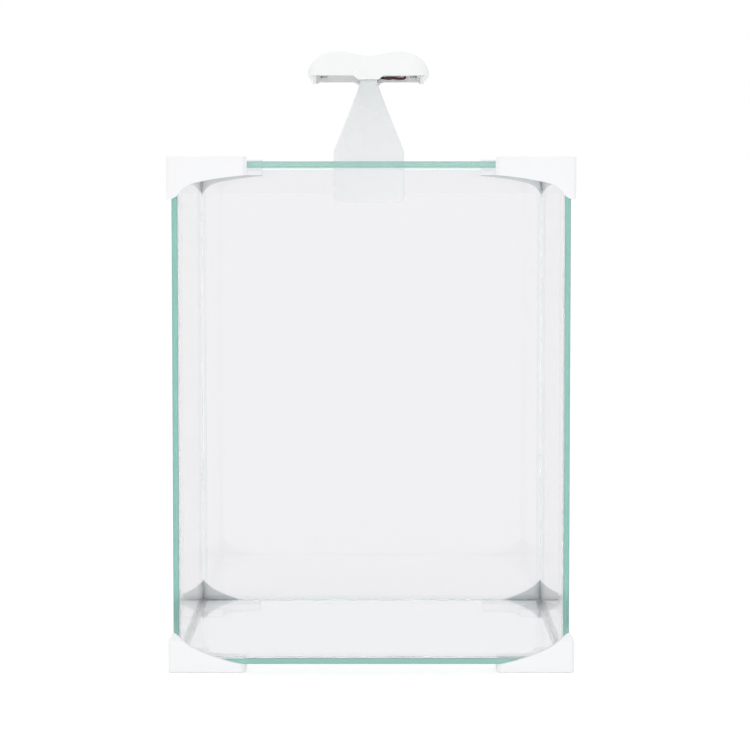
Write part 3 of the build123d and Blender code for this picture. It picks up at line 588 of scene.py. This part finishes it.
# A slab of glass in the CAD pane's place. Finish 0 is polished, 1 cut, 2 the ground bevels.
# Finish 3 is for the edges that silicone wets, which are given by their directions.
def glassSlab(name, node, body, corner, glass, wetted, cut="cutEdge"):
    low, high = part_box(node)
    size = high - low
    thin = min(range(3), key=lambda axis: size[axis])
    wideA, wideB = [axis for axis in range(3) if axis != thin]
    middle = (low + high) / 2
    half, bevel = size[thin] / 2, glassCut["bevel"]
    steps = glassCut["cornerSteps"] if corner else 1
    bm = bmesh.new()
    rings = []
    for across, inset in ((-half, bevel), (-half + bevel, 0.0), (half - bevel, 0.0), (half, bevel)):
        ring = []
        for a, b in slabOutline(size[wideA] / 2, size[wideB] / 2, corner, inset, steps):
            spot = Vector((0, 0, 0))
            spot[wideA] = middle[wideA] + a
            spot[wideB] = middle[wideB] + b
            spot[thin] = middle[thin] + across
            ring.append(bm.verts.new(spot))
        rings.append(ring)
    for row, faces in enumerate(joinRings(bm, rings)):
        for step, face in enumerate(faces):
            isCorner = not corner and step % 2 == 0
            face.material_index = 1 if row == 1 and not isCorner else 2
    closeEnds(bm, rings)
    bmesh.ops.recalc_face_normals(bm, faces=bm.faces)
    for face in bm.faces:
        if any(face.normal.dot(Vector(way)) > glassCut["facing"] for way in wetted):
            face.material_index = 3
    makePiece(
        name, bm, body, [node], [glass, cut, "edgeBevel", "wettedGlass"],
        smooth=22, cleanNormals=False,
    )


down, toLeft, toRight = (0, 0, -1), (-1, 0, 0), (1, 0, 0)
glassSlab("bottomPane", "bottom_pane", "tank", 0.0, "sideGlass", [], "floorCutEdgePaintedLight")
glassSlab("leftPane", "left_pane", "tank", 0.0, "sideGlass", [down])
glassSlab("rightPane", "right_pane", "tank", 0.0, "sideGlass", [down])
glassSlab("frontPane", "front_pane", "tank", 0.0, "frontGlass", [down, toLeft, toRight])
glassSlab("rearPane", "rear_pane", "tank", 0.0, "rearGlassPaintedShade", [down, toLeft, toRight])
glassSlab("coverGlass", "cover_glass", "cover", glassCut["coverCorner"], "sideGlass", [], "coverCutEdgePaintedLight")
print("glass cut")


# Silicone, with a hollow face between the panes, kept a hair clear of the glass

siliconeBead = {
    "clear": 0.03 * mm,
    "cove": 2.5 * mm,
    "hollow": 0.55 * mm,
    "coveSteps": 6,
    "lengthStep": 5.0 * mm,
    "wobble": 0.05 * mm,
    "waves": ((0.6, 52, 1.7), (0.4, 131, 2.9)),  # share, radians per metre, shift from seed to seed
    "belowRim": 4.0 * mm,  # where an upright cove ends
    "gap": 0.5 * mm,  # between a side pane and the end of a front or rear pane
    "stripInset": 0.28 * mm,
    "stripBelowRim": 0.3 * mm,
    "floorInset": 0.35 * mm,
    "sideSeed": 7,
    "endSeed": 11,
}
clear = siliconeBead["clear"]


def wobbleAt(along, seed):
    waves = siliconeBead["waves"]
    ripple = sum(share * math.sin(along * wave + seed * shift) for share, wave, shift in waves)
    return siliconeBead["wobble"] * ripple


# Cross-section of a cove from the corner: u along one pane, v along the other
def coveSection(along, seed):
    reach = siliconeBead["cove"] + wobbleAt(along, seed)
    steps = siliconeBead["coveSteps"]
    points = [(clear, clear)]
    for step in range(steps + 1):
        share = step / steps
        sag = siliconeBead["hollow"] * math.sin(math.pi * share)
        u = clear + (reach - clear) * (1 - share) - sag / math.sqrt(2)
        v = clear + (reach - clear) * share - sag / math.sqrt(2)
        points.append((max(u, clear), max(v, clear)))
    return points


# A cove along one axis. With a mitre of 1 its ends are cut at 45 degrees, as floor beads meet.
def sweepCove(bm, corner, alongAxis, uSign, uAxis, vSign, vAxis, start, end, seed, mitre):
    count = max(2, int((end - start) / siliconeBead["lengthStep"]))
    rings = []
    for step in range(count + 1):
        along = start + (end - start) * step / count
        ring = []
        for u, v in coveSection(along, seed):
            spot = Vector((0, 0, 0))
            spot[uAxis] = corner[uAxis] + uSign * u
            spot[vAxis] = corner[vAxis] + vSign * v
            trim = mitre * u
            spot[alongAxis] = min(max(along, start + trim), end - trim)
            ring.append(bm.verts.new(spot))
        rings.append(ring)
    joinRings(bm, rings)
    closeEnds(bm, rings)


def boxBetween(bm, low, high):
    spots = [(x, y, z) for x in (low[0], high[0]) for y in (low[1], high[1]) for z in (low[2], high[2])]
    corners = [bm.verts.new(spot) for spot in spots]
    for face in ((0, 1, 3, 2), (4, 6, 7, 5), (0, 4, 5, 1), (2, 3, 7, 6), (0, 2, 6, 4), (1, 5, 7, 3)):
        bm.faces.new([corners[index] for index in face])


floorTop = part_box("bottom_pane")[1].z
wallBottom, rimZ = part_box("left_pane")[0].z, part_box("left_pane")[1].z
leftInner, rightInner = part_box("left_pane")[1].x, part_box("right_pane")[0].x
frontInner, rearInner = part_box("front_pane")[1].y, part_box("rear_pane")[0].y
sides = (("left", leftInner, 1), ("right", rightInner, -1))
ends = (("front", frontInner, 1), ("rear", rearInner, -1))

for sideIndex, (side, cornerX, signX) in enumerate(sides):
    for endIndex, (end, cornerY, signY) in enumerate(ends):
        bm = bmesh.new()
        sweepCove(
            bm, Vector((cornerX, cornerY, 0)), 2, signX, 0, signY, 1, wallBottom + siliconeBead["cove"],
            rimZ - siliconeBead["belowRim"], seed=sideIndex * 2 + endIndex + 1, mitre=0,
        )
        paneLow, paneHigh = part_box(end + "_pane")
        stripX = sorted((cornerX + signX * clear, cornerX + signX * (siliconeBead["gap"] - clear)))
        boxBetween(
            bm, (stripX[0], paneLow.y + siliconeBead["stripInset"], wallBottom),
            (stripX[1], paneHigh.y - siliconeBead["stripInset"], rimZ - siliconeBead["stripBelowRim"]),
        )
        makePiece(
            "cornerBead" + end.capitalize() + side.capitalize(), bm, "tank",
            [f"corner_seam_{end}_{side}"], ["silicone"], smooth=50,
        )

# The floor bead: four mitred coves, and the flat joint under the four walls
bm = bmesh.new()
for side, cornerX, signX in sides:
    sweepCove(
        bm, Vector((cornerX, 0, floorTop)), 1, signX, 0, 1, 2, frontInner, rearInner,
        seed=siliconeBead["sideSeed"] + signX, mitre=1,
    )
for end, cornerY, signY in ends:
    sweepCove(
        bm, Vector((0, cornerY, floorTop)), 0, signY, 1, 1, 2, leftInner, rightInner,
        seed=siliconeBead["endSeed"] + signY, mitre=1,
    )
paneLow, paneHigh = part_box("bottom_pane")
inset = siliconeBead["floorInset"]
outerLow, outerHigh = (paneLow.x + inset, paneLow.y + inset), (paneHigh.x - inset, paneHigh.y - inset)
for lowX, lowY, highX, highY in (
    (*outerLow, leftInner - clear, outerHigh[1]),
    (rightInner + clear, outerLow[1], *outerHigh),
    (leftInner, outerLow[1], rightInner, frontInner - clear),
    (leftInner, rearInner + clear, rightInner, outerHigh[1]),
):
    boxBetween(bm, (lowX, lowY, floorTop + clear), (highX, highY, wallBottom - clear))
makePiece("floorBead", bm, "tank", ["floor_seam"], ["silicone"], smooth=50)
print("silicone laid")


# White corner caps

capMoulding = {"topEdge": 0.14 * mm, "footEdge": 0.35 * mm, "segments": 2}

for end in ("front", "rear"):
    for side in ("left", "right"):
        for label, node, edge in (("topCap", "top_cap", "topEdge"), ("footCap", "bottom_cap", "footEdge")):
            cadNode = f"{node}_{end}_{side}"
            makePiece(
                label + end.capitalize() + side.capitalize(),
                easedCopy(cadNode, capMoulding[edge], capMoulding["segments"]),
                "tank", [cadNode], ["capWhite"],
            )
print("caps moulded")


# The lamp's arm, head and small screws

lampMoulding = {
    "armEdge": 0.2 * mm,
    "screwEdge": 0.08 * mm,
    "lipFrontOf": -25.0 * mm,
    "lipBelow": 302.5 * mm,
    "lipDrop": 0.7 * mm,
}

for node, name in (("arm_front", "armFrontHalf"), ("arm_back", "armRearHalf")):
    arm = easedCopy(node, lampMoulding["armEdge"])
    makePiece(name, arm, "lamp", [node], ["lampWhite"])

# The short lip in the middle of the shell's front edge hangs low enough to hide the wires' way in
shell = easedCopy("head_shell", 0)
for vert in shell.verts:
    if vert.co.y < lampMoulding["lipFrontOf"] and vert.co.z < lampMoulding["lipBelow"]:
        vert.co.z -= lampMoulding["lipDrop"]
makePiece("headShell", shell, "lamp", ["head_shell"], ["lampWhite"])
underside = easedCopy("head_frame", 0)
makePiece("headFrame", underside, "lamp", ["head_frame"], ["frameGrey"])
for node, name in (("arm_screws", "armScrews"), ("head_screws", "headScrews")):
    screws = easedCopy(node, lampMoulding["screwEdge"], segments=1)
    makePiece(name, screws, "lamp", [node], ["screwSteel"])
print("lamp housings moulded")


# Lens with fine ribs on its underside

lensCut = {
    "rib": 1.5 * mm,
    "depth": 0.22 * mm,
    "edge": 0.1 * mm,
    "taper": 2.0 * mm,  # at both ends of the ribs
    "taperInset": 0.5 * mm,
}

low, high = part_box("lens_cover")
ribCount = int((high.y - low.y - 2 * lensCut["rib"]) / lensCut["rib"])
ribStart = (low.y + high.y) / 2 - ribCount * lensCut["rib"] / 2
section = [(low.y + lensCut["edge"], high.z), (low.y, high.z - lensCut["edge"]), (low.y, low.z)]
for rib in range(ribCount + 1):
    y = ribStart + rib * lensCut["rib"]
    section.append((y, low.z))
    if rib < ribCount:
        section.append((y + lensCut["rib"] / 2, low.z + lensCut["depth"]))
section += [(high.y, low.z), (high.y, high.z - lensCut["edge"]), (high.y - lensCut["edge"], high.z)]
bm = bmesh.new()
rings = []
for x, inset in (
    (low.x, lensCut["taperInset"]), (low.x + lensCut["taper"], 0.0),
    (high.x - lensCut["taper"], 0.0), (high.x, lensCut["taperInset"]),
):
    rings.append([bm.verts.new((x, min(max(y, low.y + inset), high.y - inset), z)) for y, z in section])
joinRings(bm, rings)
closeEnds(bm, rings)
makePiece("ribbedLens", bm, "lamp", ["lens_cover"], ["frostedLens"], smooth=20)


# Light board, with its chips in white packages and copper pads beside them

boardEdge = 0.1 * mm
board = easedCopy("led_board", boardEdge, segments=1)
makePiece("lightBoard", board, "lamp", ["led_board"], ["boardMask"])

chipBox = {
    "sizeX": 3.5 * mm,
    "sizeY": 2.8 * mm,
    "columns": 3,
    "rows": 6,
    "edge": 0.08 * mm,
    "wall": 0.35 * mm,
    "slope": 0.12 * mm,
    "dish": 0.15 * mm,
    "corner": 0.3 * mm,
    "cornerGrowth": 0.8,  # more of the corner is cut further in
}

chipLow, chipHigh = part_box("led_chips")
chipSpots = []
for column in range(chipBox["columns"]):
    for row in range(chipBox["rows"]):
        spanX, spanY = chipHigh.x - chipLow.x - chipBox["sizeX"], chipHigh.y - chipLow.y - chipBox["sizeY"]
        x = chipLow.x + chipBox["sizeX"] / 2 + column * spanX / (chipBox["columns"] - 1)
        y = chipLow.y + chipBox["sizeY"] / 2 + row * spanY / (chipBox["rows"] - 1)
        chipSpots.append((x, y))

bm = bmesh.new()
for x, y in chipSpots:
    rings = []
    for inset, z in (
        (0.0, chipHigh.z), (0.0, chipLow.z + chipBox["edge"]), (chipBox["edge"], chipLow.z),
        (chipBox["wall"], chipLow.z), (chipBox["wall"] + chipBox["slope"], chipLow.z + chipBox["dish"]),
    ):
        halfX, halfY = chipBox["sizeX"] / 2 - inset, chipBox["sizeY"] / 2 - inset
        cut = min(chipBox["corner"], halfY / 3) + inset * chipBox["cornerGrowth"]
        outline = (
            (halfX - cut, halfY), (-halfX + cut, halfY), (-halfX, halfY - cut), (-halfX, -halfY + cut),
            (-halfX + cut, -halfY), (halfX - cut, -halfY), (halfX, -halfY + cut), (halfX, halfY - cut),
        )
        rings.append(levelRing(bm, [(x + spotX, y + spotY) for spotX, spotY in outline], z))
    joinRings(bm, rings)
    bm.faces.new(rings[0])
    bm.faces.new(rings[-1]).material_index = 1
makePiece("lightChips", bm, "lamp", ["led_chips"], ["chipBody", "phosphor"], smooth=30)

copperPad = {
    "width": 1.1 * mm,
    "length": 3.2 * mm,
    "gap": 0.1 * mm,
    "side": 0.03 * mm,
    "lift": 0.06 * mm,
    "edge": 0.06 * mm,
    "squareness": 5,
    "steps": 16,
}


# A rectangle with rounded corners, as the curve abs(x) ** n + abs(y) ** n = 1
def roundedOutline(x, y, halfX, halfY):
    power = copperPad["squareness"]
    spots = []
    for step in range(copperPad["steps"]):
        angle = 2 * math.pi * step / copperPad["steps"]
        cosine, sine = math.cos(angle), math.sin(angle)
        stretch = (abs(cosine) ** power + abs(sine) ** power) ** (-1 / power)
        spots.append((x + halfX * cosine * stretch, y + halfY * sine * stretch))
    return spots


bm = bmesh.new()
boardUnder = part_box("led_board")[0].z
for x, y in chipSpots:
    for side in (-1, 1):
        padX = x + side * (chipBox["sizeX"] / 2 + copperPad["width"] / 2 + copperPad["gap"])
        rings = []
        for inset, drop in ((0.0, 0.0), (0.0, copperPad["side"]), (copperPad["edge"], copperPad["lift"])):
            halfX, halfY = copperPad["width"] / 2 - inset, copperPad["length"] / 2 - inset
            rings.append(levelRing(bm, roundedOutline(padX, y, halfX, halfY), boardUnder - drop))
        joinRings(bm, rings)
        closeEnds(bm, rings)
makePiece("copperPads", bm, "lamp", [], ["copperPad"], smooth=30)
print("light board fitted")


# Two insulated wires, in millimetres: up the arm's channel, across the bay, and up to the board

wireRoute = {
    "middle": -1.6,
    "radius": 0.65,
    "gland": 266.0,
    "channel": 85.15,
    "corner": 289.67,
    "board": 310.3,
}
wires = {
    "redWire": {
        "node": "red_wire", "slot": "red_insulation",
        "across": 1.0, "bayY": 72.64, "bayZ": 305.4, "endX": 18.9,
        "sways": [(4.0, 0.25, 0.9), (7.0, 0.4, 0.3), (9.5, 0.3, -0.2), (12.0, 0.3, 0.35), (14.5, 0.2, -0.1)],
    },
    "darkWire": {
        "node": "black_wire", "slot": "dark_insulation",
        "across": -1.0, "bayY": 71.45, "bayZ": 306.9, "endX": 15.9,
        "sways": [
            (2.5, -0.2, -0.1), (5.0, -0.4, -1.0), (7.5, -0.4, -1.5), (9.5, -0.3, -0.4), (11.5, -0.2, -0.9),
        ],
    },
}


def layWire(name, node, slot, across, bayY, bayZ, endX, sways):
    x = wireRoute["middle"] + across
    points = [
        (x, 87.3, wireRoute["gland"]), (x, 86.0, wireRoute["gland"]),
        (x, wireRoute["channel"], 267.4), (x, wireRoute["channel"], 278.0),
        (x, wireRoute["channel"] - 0.4, wireRoute["corner"] - 6.0),
        (x, wireRoute["channel"] - 3.1, wireRoute["corner"] + 2.9),
        (x, bayY + 4.2, bayZ - 5.3), (x, bayY + 0.9, bayZ - 1.2),
        (x + 0.5, bayY, bayZ), (x + 2.0, bayY, bayZ),
    ]
    points += [(spotX, bayY + swayY, bayZ + swayZ) for spotX, swayY, swayZ in sways]
    points += [
        (endX - 2.2, bayY, bayZ), (endX - 0.5, bayY, bayZ), (endX, bayY, bayZ + 0.9),
        (endX, bayY, wireRoute["board"] - 1.0), (endX, bayY, wireRoute["board"]),
    ]
    curve = bpy.data.curves.new(name, "CURVE")
    curve.dimensions = "3D"
    spline = curve.splines.new("NURBS")
    spline.points.add(len(points) - 1)
    for point, (px, py, pz) in zip(spline.points, points):
        point.co = (px * mm, py * mm, pz * mm, 1.0)
    spline.order_u = 3
    spline.use_endpoint_u = True
    spline.resolution_u = 8
    curve.bevel_depth = wireRoute["radius"] * mm
    curve.bevel_resolution = 4
    curve.use_fill_caps = True
    curve.materials.append(finishes[name])
    piece = bpy.data.objects.new(name, curve)
    scene.collection.objects.link(piece)
    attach(piece, "lamp")
    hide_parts(node)


for name, wire in wires.items():
    layWire(name, **wire)

# Solder joints where the wires meet the board
solderJoint = {
    "radius": 1.1 * mm,
    "height": 1.1 * mm,
    "narrowing": 0.45,
    "swell": 0.7,  # below 1, it narrows most near the board
    "levels": (0.0, 0.25, 0.5, 0.75, 0.95),
    "steps": 24,
}
bm = bmesh.new()
for wire in wires.values():
    x, y = wire["endX"] * mm, wire["bayY"] * mm
    rings = []
    for share in solderJoint["levels"]:
        radius = solderJoint["radius"] * (1 - solderJoint["narrowing"] * share ** solderJoint["swell"])
        angles = [2 * math.pi * step / solderJoint["steps"] for step in range(solderJoint["steps"])]
        spots = [(x + radius * math.cos(angle), y + radius * math.sin(angle)) for angle in angles]
        rings.append(levelRing(bm, spots, boardUnder - solderJoint["height"] * share))
    joinRings(bm, rings)
    closeEnds(bm, rings)
makePiece("solderJoints", bm, "lamp", [], ["solder"], smooth=60)
print("wires laid")


# The clip: rubber liner, brass insert, pad, threaded screw and knob, and the cable gland

clampZ = 243.9 * mm  # height of the clamp screw's axis

# Liner: grooves run across the face that grips the glass
linerShape = {
    "corner": 2.0 * mm,
    "endHeight": 0.3 * mm,
    "endSink": 0.25 * mm,
    "firstGroove": 1.2 * mm,
    "lastGroove": 1.6 * mm,
    "pitch": 2.0 * mm,
    "grooveWidth": 1.0 * mm,
    "grooveSlope": 0.25 * mm,
    "grooveDepth": 0.3 * mm,
    "edgeDepth": 0.15 * mm,
    "edgeWidth": 0.2 * mm,
}
low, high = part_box("jaw_liner")
profile = [(low.z, linerShape["endSink"]), (low.z + linerShape["endHeight"], 0.0)]
z = low.z + linerShape["firstGroove"]
while z < high.z - linerShape["lastGroove"]:
    grooveFloor = (z + linerShape["grooveSlope"], z + linerShape["grooveWidth"] - linerShape["grooveSlope"])
    profile.append((z, 0.0))
    profile += [(spot, linerShape["grooveDepth"]) for spot in grooveFloor]
    profile.append((z + linerShape["grooveWidth"], 0.0))
    z += linerShape["pitch"]
profile += [(high.z - linerShape["endHeight"], 0.0), (high.z, linerShape["endSink"])]
corner, edgeDepth, edgeWidth = linerShape["corner"], linerShape["edgeDepth"], linerShape["edgeWidth"]
bm = bmesh.new()
rings = []
for z, sink in profile:
    fromEnd = min(z - low.z, high.z - z)
    pull = corner - math.sqrt(max(0.0, corner ** 2 - max(0.0, corner - fromEnd) ** 2))
    left, right = low.x + pull, high.x - pull
    face = high.y - sink
    rings.append(levelRing(bm, (
        (left, low.y), (left, face - edgeDepth), (left + edgeWidth, face),
        (right - edgeWidth, face), (right, face - edgeDepth), (right, low.y),
    ), z))
joinRings(bm, rings)
closeEnds(bm, rings)
makePiece("ribbedLiner", bm, "lamp", ["jaw_liner"], ["padGrey"], smooth=30)

# Brass insert: eased rims and a chamfered bore
insertShape = {"bore": 2.95 * mm, "chamfer": 0.25 * mm, "rim": 0.15 * mm, "steps": 64}
low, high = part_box("screw_insert")
outer, bore = (high.x - low.x) / 2, insertShape["bore"]
rim, chamfer = insertShape["rim"], insertShape["chamfer"]
bm = turnedSolid([
    (low.y, bore + chamfer), (low.y, outer - rim), (low.y + rim, outer), (high.y - rim, outer),
    (high.y, outer - rim), (high.y, bore + chamfer), (high.y - chamfer, bore), (low.y + chamfer, bore),
], clampZ, insertShape["steps"], hollow=True)
makePiece("brassInsert", bm, "lamp", ["screw_insert"], ["turnedBrass"], smooth=30)

# Pressure pad: a rounded back with its socket, and rings in its gripping face
padShape = {
    "ringRadii": (6.2, 5.6, 5.2, 4.6, 4.2, 3.6, 3.2, 2.6, 2.2, 1.6),  # millimetres, in pairs up and sunk
    "ringDepth": 0.25 * mm,
    "frontEdge": 0.3 * mm,
    "backRound": 0.65 * mm,
    "backBend": 0.19 * mm,  # how far the middle of that round lies from both faces
    "socket": 2.05 * mm,
    "socketDepth": 1.8 * mm,
    "socketEdge": 0.2 * mm,
    "steps": 72,
}
low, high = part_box("pressure_pad")
radius, socket = (high.x - low.x) / 2, padShape["socket"]
face = []
for index, ringRadius in enumerate(padShape["ringRadii"]):
    sink = padShape["ringDepth"] if index % 4 in (1, 2) else 0.0
    face.append((low.y + sink, ringRadius * mm))
bm = turnedSolid(face[::-1] + [
    (low.y, radius - padShape["frontEdge"]), (low.y + padShape["frontEdge"], radius),
    (high.y - padShape["backRound"], radius), (high.y - padShape["backBend"], radius - padShape["backBend"]),
    (high.y, radius - padShape["backRound"]), (high.y, socket + padShape["socketEdge"]),
    (high.y - padShape["socketEdge"], socket), (high.y - padShape["socketDepth"], socket),
], clampZ, padShape["steps"])
makePiece("pressurePad", bm, "pad", ["pressure_pad"], ["padGrey"], smooth=30)

# Screw: plain nose, then a real thread up to the knob
screwShape = {
    "tip": 1.6 * mm,
    "tipLength": 0.4 * mm,
    "nose": 2.0 * mm,
    "noseLength": 1.9 * mm,
    "noseEnd": 0.2 * mm,
    "root": 2.35 * mm,
    "crest": 2.9 * mm,
    "pitch": 1.0 * mm,
    "threadLength": 9.9 * mm,
    "intoKnob": 1.0 * mm,
    "knobLength": 7.0 * mm,
    "flank": 1.25,  # steeper than a plain wave, so that crest and root are flat
    "flatRoot": 0.1,
    "perTurn": 8,
    "steps": 48,
}
low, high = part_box("clamp_screw")
knobFront = high.y - screwShape["knobLength"]
shankStart = max(knobFront - screwShape["threadLength"], low.y + screwShape["noseLength"])


def threadReach(row, step):
    turn = (row / screwShape["perTurn"] + step / screwShape["steps"]) % 1.0
    wave = 1 - abs(2 * turn - 1)
    tooth = min(1.0, max(0.0, screwShape["flank"] * wave - screwShape["flatRoot"]))
    fade = min(1.0, row / screwShape["perTurn"])
    return screwShape["root"] + (screwShape["crest"] - screwShape["root"]) * tooth * fade


bm = bmesh.new()
rings = []
for y, reach in (
    (low.y, screwShape["tip"]), (low.y + screwShape["tipLength"], screwShape["nose"]),
    (shankStart - screwShape["noseEnd"], screwShape["nose"]),
):
    rings.append(ringRound(bm, y, clampZ, [reach] * screwShape["steps"]))
threaded = knobFront + screwShape["intoKnob"] - shankStart
for row in range(int(threaded / screwShape["pitch"] * screwShape["perTurn"]) + 1):
    y = shankStart + row * screwShape["pitch"] / screwShape["perTurn"]
    rings.append(ringRound(bm, y, clampZ, [threadReach(row, step) for step in range(screwShape["steps"])]))
joinRings(bm, rings)
closeEnds(bm, rings)
makePiece("threadedShank", bm, "screw", ["clamp_screw"], ["screwSteel"], smooth=45)

# Knob: eight finger grooves, eased ends and a dished outer face
knobShape = {
    "radius": 8.0 * mm,
    "bore": 3.2 * mm,
    "frontRound": 0.9 * mm,
    "frontDepth": 0.5 * mm,
    "frontSteps": 5,
    "ease": 0.8 * mm,
    "easeSteps": 6,
    "lobes": 8,
    "groove": 1.6 * mm,
    "grooveShare": 0.98,
    "grooveFrom": 5.6 * mm,  # the grooves fade in from here outwards
    "grooveFade": 1.2 * mm,
    "rim": ((0.0, 2.6), (0.15, 3.0), (0.7, 3.6)),  # depth and distance from the edge, in millimetres
    "middle": ((0.7, 1.6), (0.5, 1.3), (0.45, 0.4)),  # depth and radius, in millimetres
    "steps": 192,
}


def grooveReach(angle):
    period = 2 * math.pi / knobShape["lobes"]
    off = (angle + period / 2) % period - period / 2
    half = knobShape["groove"] / knobShape["radius"]
    if abs(off) >= half:
        return 1.0
    share = math.sqrt(max(0.0, 1 - (off / half) ** 2))
    return 1 - knobShape["grooveShare"] * half * share


def knobReach(reach, step):
    angle = 2 * math.pi * step / knobShape["steps"]
    fade = min(1.0, max(0.0, (reach - knobShape["grooveFrom"]) / knobShape["grooveFade"]))
    return reach * (1 - fade * (1 - grooveReach(angle)))


radius, ease, frontRound = knobShape["radius"], knobShape["ease"], knobShape["frontRound"]
profile = [(knobFront, knobShape["bore"]), (knobFront, radius - frontRound)]
for step in range(1, knobShape["frontSteps"] + 1):
    angle = math.radians(90 * step / knobShape["frontSteps"])
    y = knobFront + knobShape["frontDepth"] * (1 - math.cos(angle))
    profile.append((y, radius - frontRound + frontRound * math.sin(angle)))
for step in range(1, knobShape["easeSteps"] + 1):
    angle = math.radians(90 * step / knobShape["easeSteps"])
    profile.append((high.y - ease + ease * math.sin(angle), radius - ease + ease * math.cos(angle)))
profile += [(high.y - depth * mm, radius - inset * mm) for depth, inset in knobShape["rim"]]
profile += [(high.y - depth * mm, reach * mm) for depth, reach in knobShape["middle"]]
bm = bmesh.new()
rings = []
for y, reach in profile:
    rings.append(ringRound(bm, y, clampZ, [knobReach(reach, step) for step in range(knobShape["steps"])]))
joinRings(bm, rings)
closeEnds(bm, rings)
makePiece("clampKnob", bm, "screw", ["clamp_screw"], ["knobWhite"], smooth=40)

# Gland: flange, and a tapered nose with grooves so that it bends with the cord
glandShape = {
    "axisZ": 266.0 * mm,
    "bore": 1.9 * mm,
    "barrel": 3.35 * mm,
    "flangeBack": 90.95 * mm,
    "flangeDepth": 1.6 * mm,
    "flange": ((0.0, 4.6), (1.0, 4.6), (1.4, 4.4), (1.6, 4.0)),  # depth and radius, in millimetres
    "nose": (
        (0.0, 3.0), (0.8, 2.95), (0.9, 2.5), (1.5, 2.48), (1.6, 2.88),
        (2.3, 2.83), (2.4, 2.4), (3.0, 2.38), (3.1, 2.77),
    ),
    "mouth": ((0.2, 2.7), (0.0, 2.5)),
    "boreEdge": 0.15 * mm,
    "steps": 64,
}
low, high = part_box("cable_gland")
bore, flangeBack = glandShape["bore"], glandShape["flangeBack"]
noseStart = flangeBack + glandShape["flangeDepth"]
profile = [(low.y, bore), (low.y, glandShape["barrel"]), (flangeBack, glandShape["barrel"])]
profile += [(flangeBack + depth * mm, radius * mm) for depth, radius in glandShape["flange"]]
profile += [(noseStart + depth * mm, radius * mm) for depth, radius in glandShape["nose"]]
profile += [(high.y - depth * mm, radius * mm) for depth, radius in glandShape["mouth"]]
profile += [(high.y, bore + glandShape["boreEdge"]), (high.y - glandShape["boreEdge"], bore)]
bm = turnedSolid(profile, glandShape["axisZ"], glandShape["steps"], hollow=True)
makePiece("cableGland", bm, "lamp", ["cable_gland"], ["glandBlack"], smooth=30)
print("clip assembled")


# Table, light and camera

studio = {
    "worldFill": 0.74,
    "tableReach": 60.0,
    "tableDrop": 0.05 * mm,
    "tableColour": (0.92, 0.92, 0.92),
    "tableLift": 0.22,
    "tableBehindGlass": 0.155,
    "lights": {  # strength, direction and spread in degrees
        "keyLight": (0.3, (-0.3, -1.0, 0.1), 12),
        "bounceLight": (0.6, (-0.1, -1.0, -0.25), 40),
        "topLight": (0.4, (0.1, 0.1, 1.0), 60),
        "rearLeftLight": (0.3, (-0.8, 0.8, 0.3), 60),
        "rearRightLight": (0.3, (0.9, 0.6, 0.3), 60),
    },
}

bm = bmesh.new()
reach = studio["tableReach"]
tableCorners = ((-reach, -reach), (reach, -reach), (reach, reach), (-reach, reach))
bm.faces.new(levelRing(bm, tableCorners, -studio["tableDrop"]))
tableMesh = bpy.data.meshes.new("studioTable")
bm.to_mesh(tableMesh)
bm.free()
table = bpy.data.objects.new("studioTable", tableMesh)
scene.collection.objects.link(table)
table.visible_shadow = False  # the bounce light stands for the pale sweep in front of the table
finish, tree, shader = newFinish("paleTable", Roughness=0.9, Specular_IOR_Level=0.1)
shader.inputs["Base Color"].default_value = (*studio["tableColour"], 1.0)
shader.inputs["Emission Color"].default_value = (1.0, 1.0, 1.0, 1.0)
path = tree.nodes.new("ShaderNodeLightPath")
mirrored = addMath(tree, "MAXIMUM", path.outputs["Is Glossy Ray"], path.outputs["Is Transmission Ray"])
direct = addMath(tree, "MULTIPLY", path.outputs["Is Camera Ray"], studio["tableLift"])
indirect = addMath(tree, "MULTIPLY", mirrored, studio["tableBehindGlass"])
tree.links.new(addMath(tree, "ADD", direct, indirect), shader.inputs["Emission Strength"])
tableMesh.materials.append(finish)

# The room is white where it is seen, also through glass or in a reflection, and lights more softly
world = bpy.data.worlds.new("paleRoom")
scene.world = world
world.use_nodes = True
tree = world.node_tree
background = tree.nodes["Background"]
background.inputs["Color"].default_value = (1.0, 1.0, 1.0, 1.0)
path = tree.nodes.new("ShaderNodeLightPath")
seen = addMath(tree, "MAXIMUM", path.outputs["Is Camera Ray"], path.outputs["Is Glossy Ray"])
seen = addMath(tree, "MAXIMUM", seen, path.outputs["Is Transmission Ray"])
extra = addMath(tree, "MULTIPLY", seen, 1 - studio["worldFill"])
tree.links.new(addMath(tree, "ADD", extra, studio["worldFill"]), background.inputs["Strength"])

for name, (power, toward, spreadAngle) in studio["lights"].items():
    light = bpy.data.lights.new(name, "SUN")
    light.energy = power
    light.angle = math.radians(spreadAngle)
    holder = bpy.data.objects.new(name, light)
    holder.rotation_euler = Vector(toward).to_track_quat("Z", "Y").to_euler()
    holder.visible_glossy = name == "topLight"  # otherwise the room shows in glass and gloss, not the lights
    holder.visible_transmission = False
    scene.collection.objects.link(holder)

viewpoint = {"lens": 133.4, "sensor": 36.0, "pitch": 3.976, "spot": (1.89, -1501.55, 247.44), "reach": 200.0}
camera = bpy.data.objects.new("viewpoint", bpy.data.cameras.new("viewpoint"))
camera.data.lens = viewpoint["lens"]
camera.data.sensor_width = viewpoint["sensor"]
camera.data.clip_end = viewpoint["reach"]
camera.location = Vector(viewpoint["spot"]) * mm
camera.rotation_euler = (math.radians(90 - viewpoint["pitch"]), 0, 0)
scene.collection.objects.link(camera)
scene.camera = camera
scene.view_settings.view_transform = "Standard"
print("studio set")
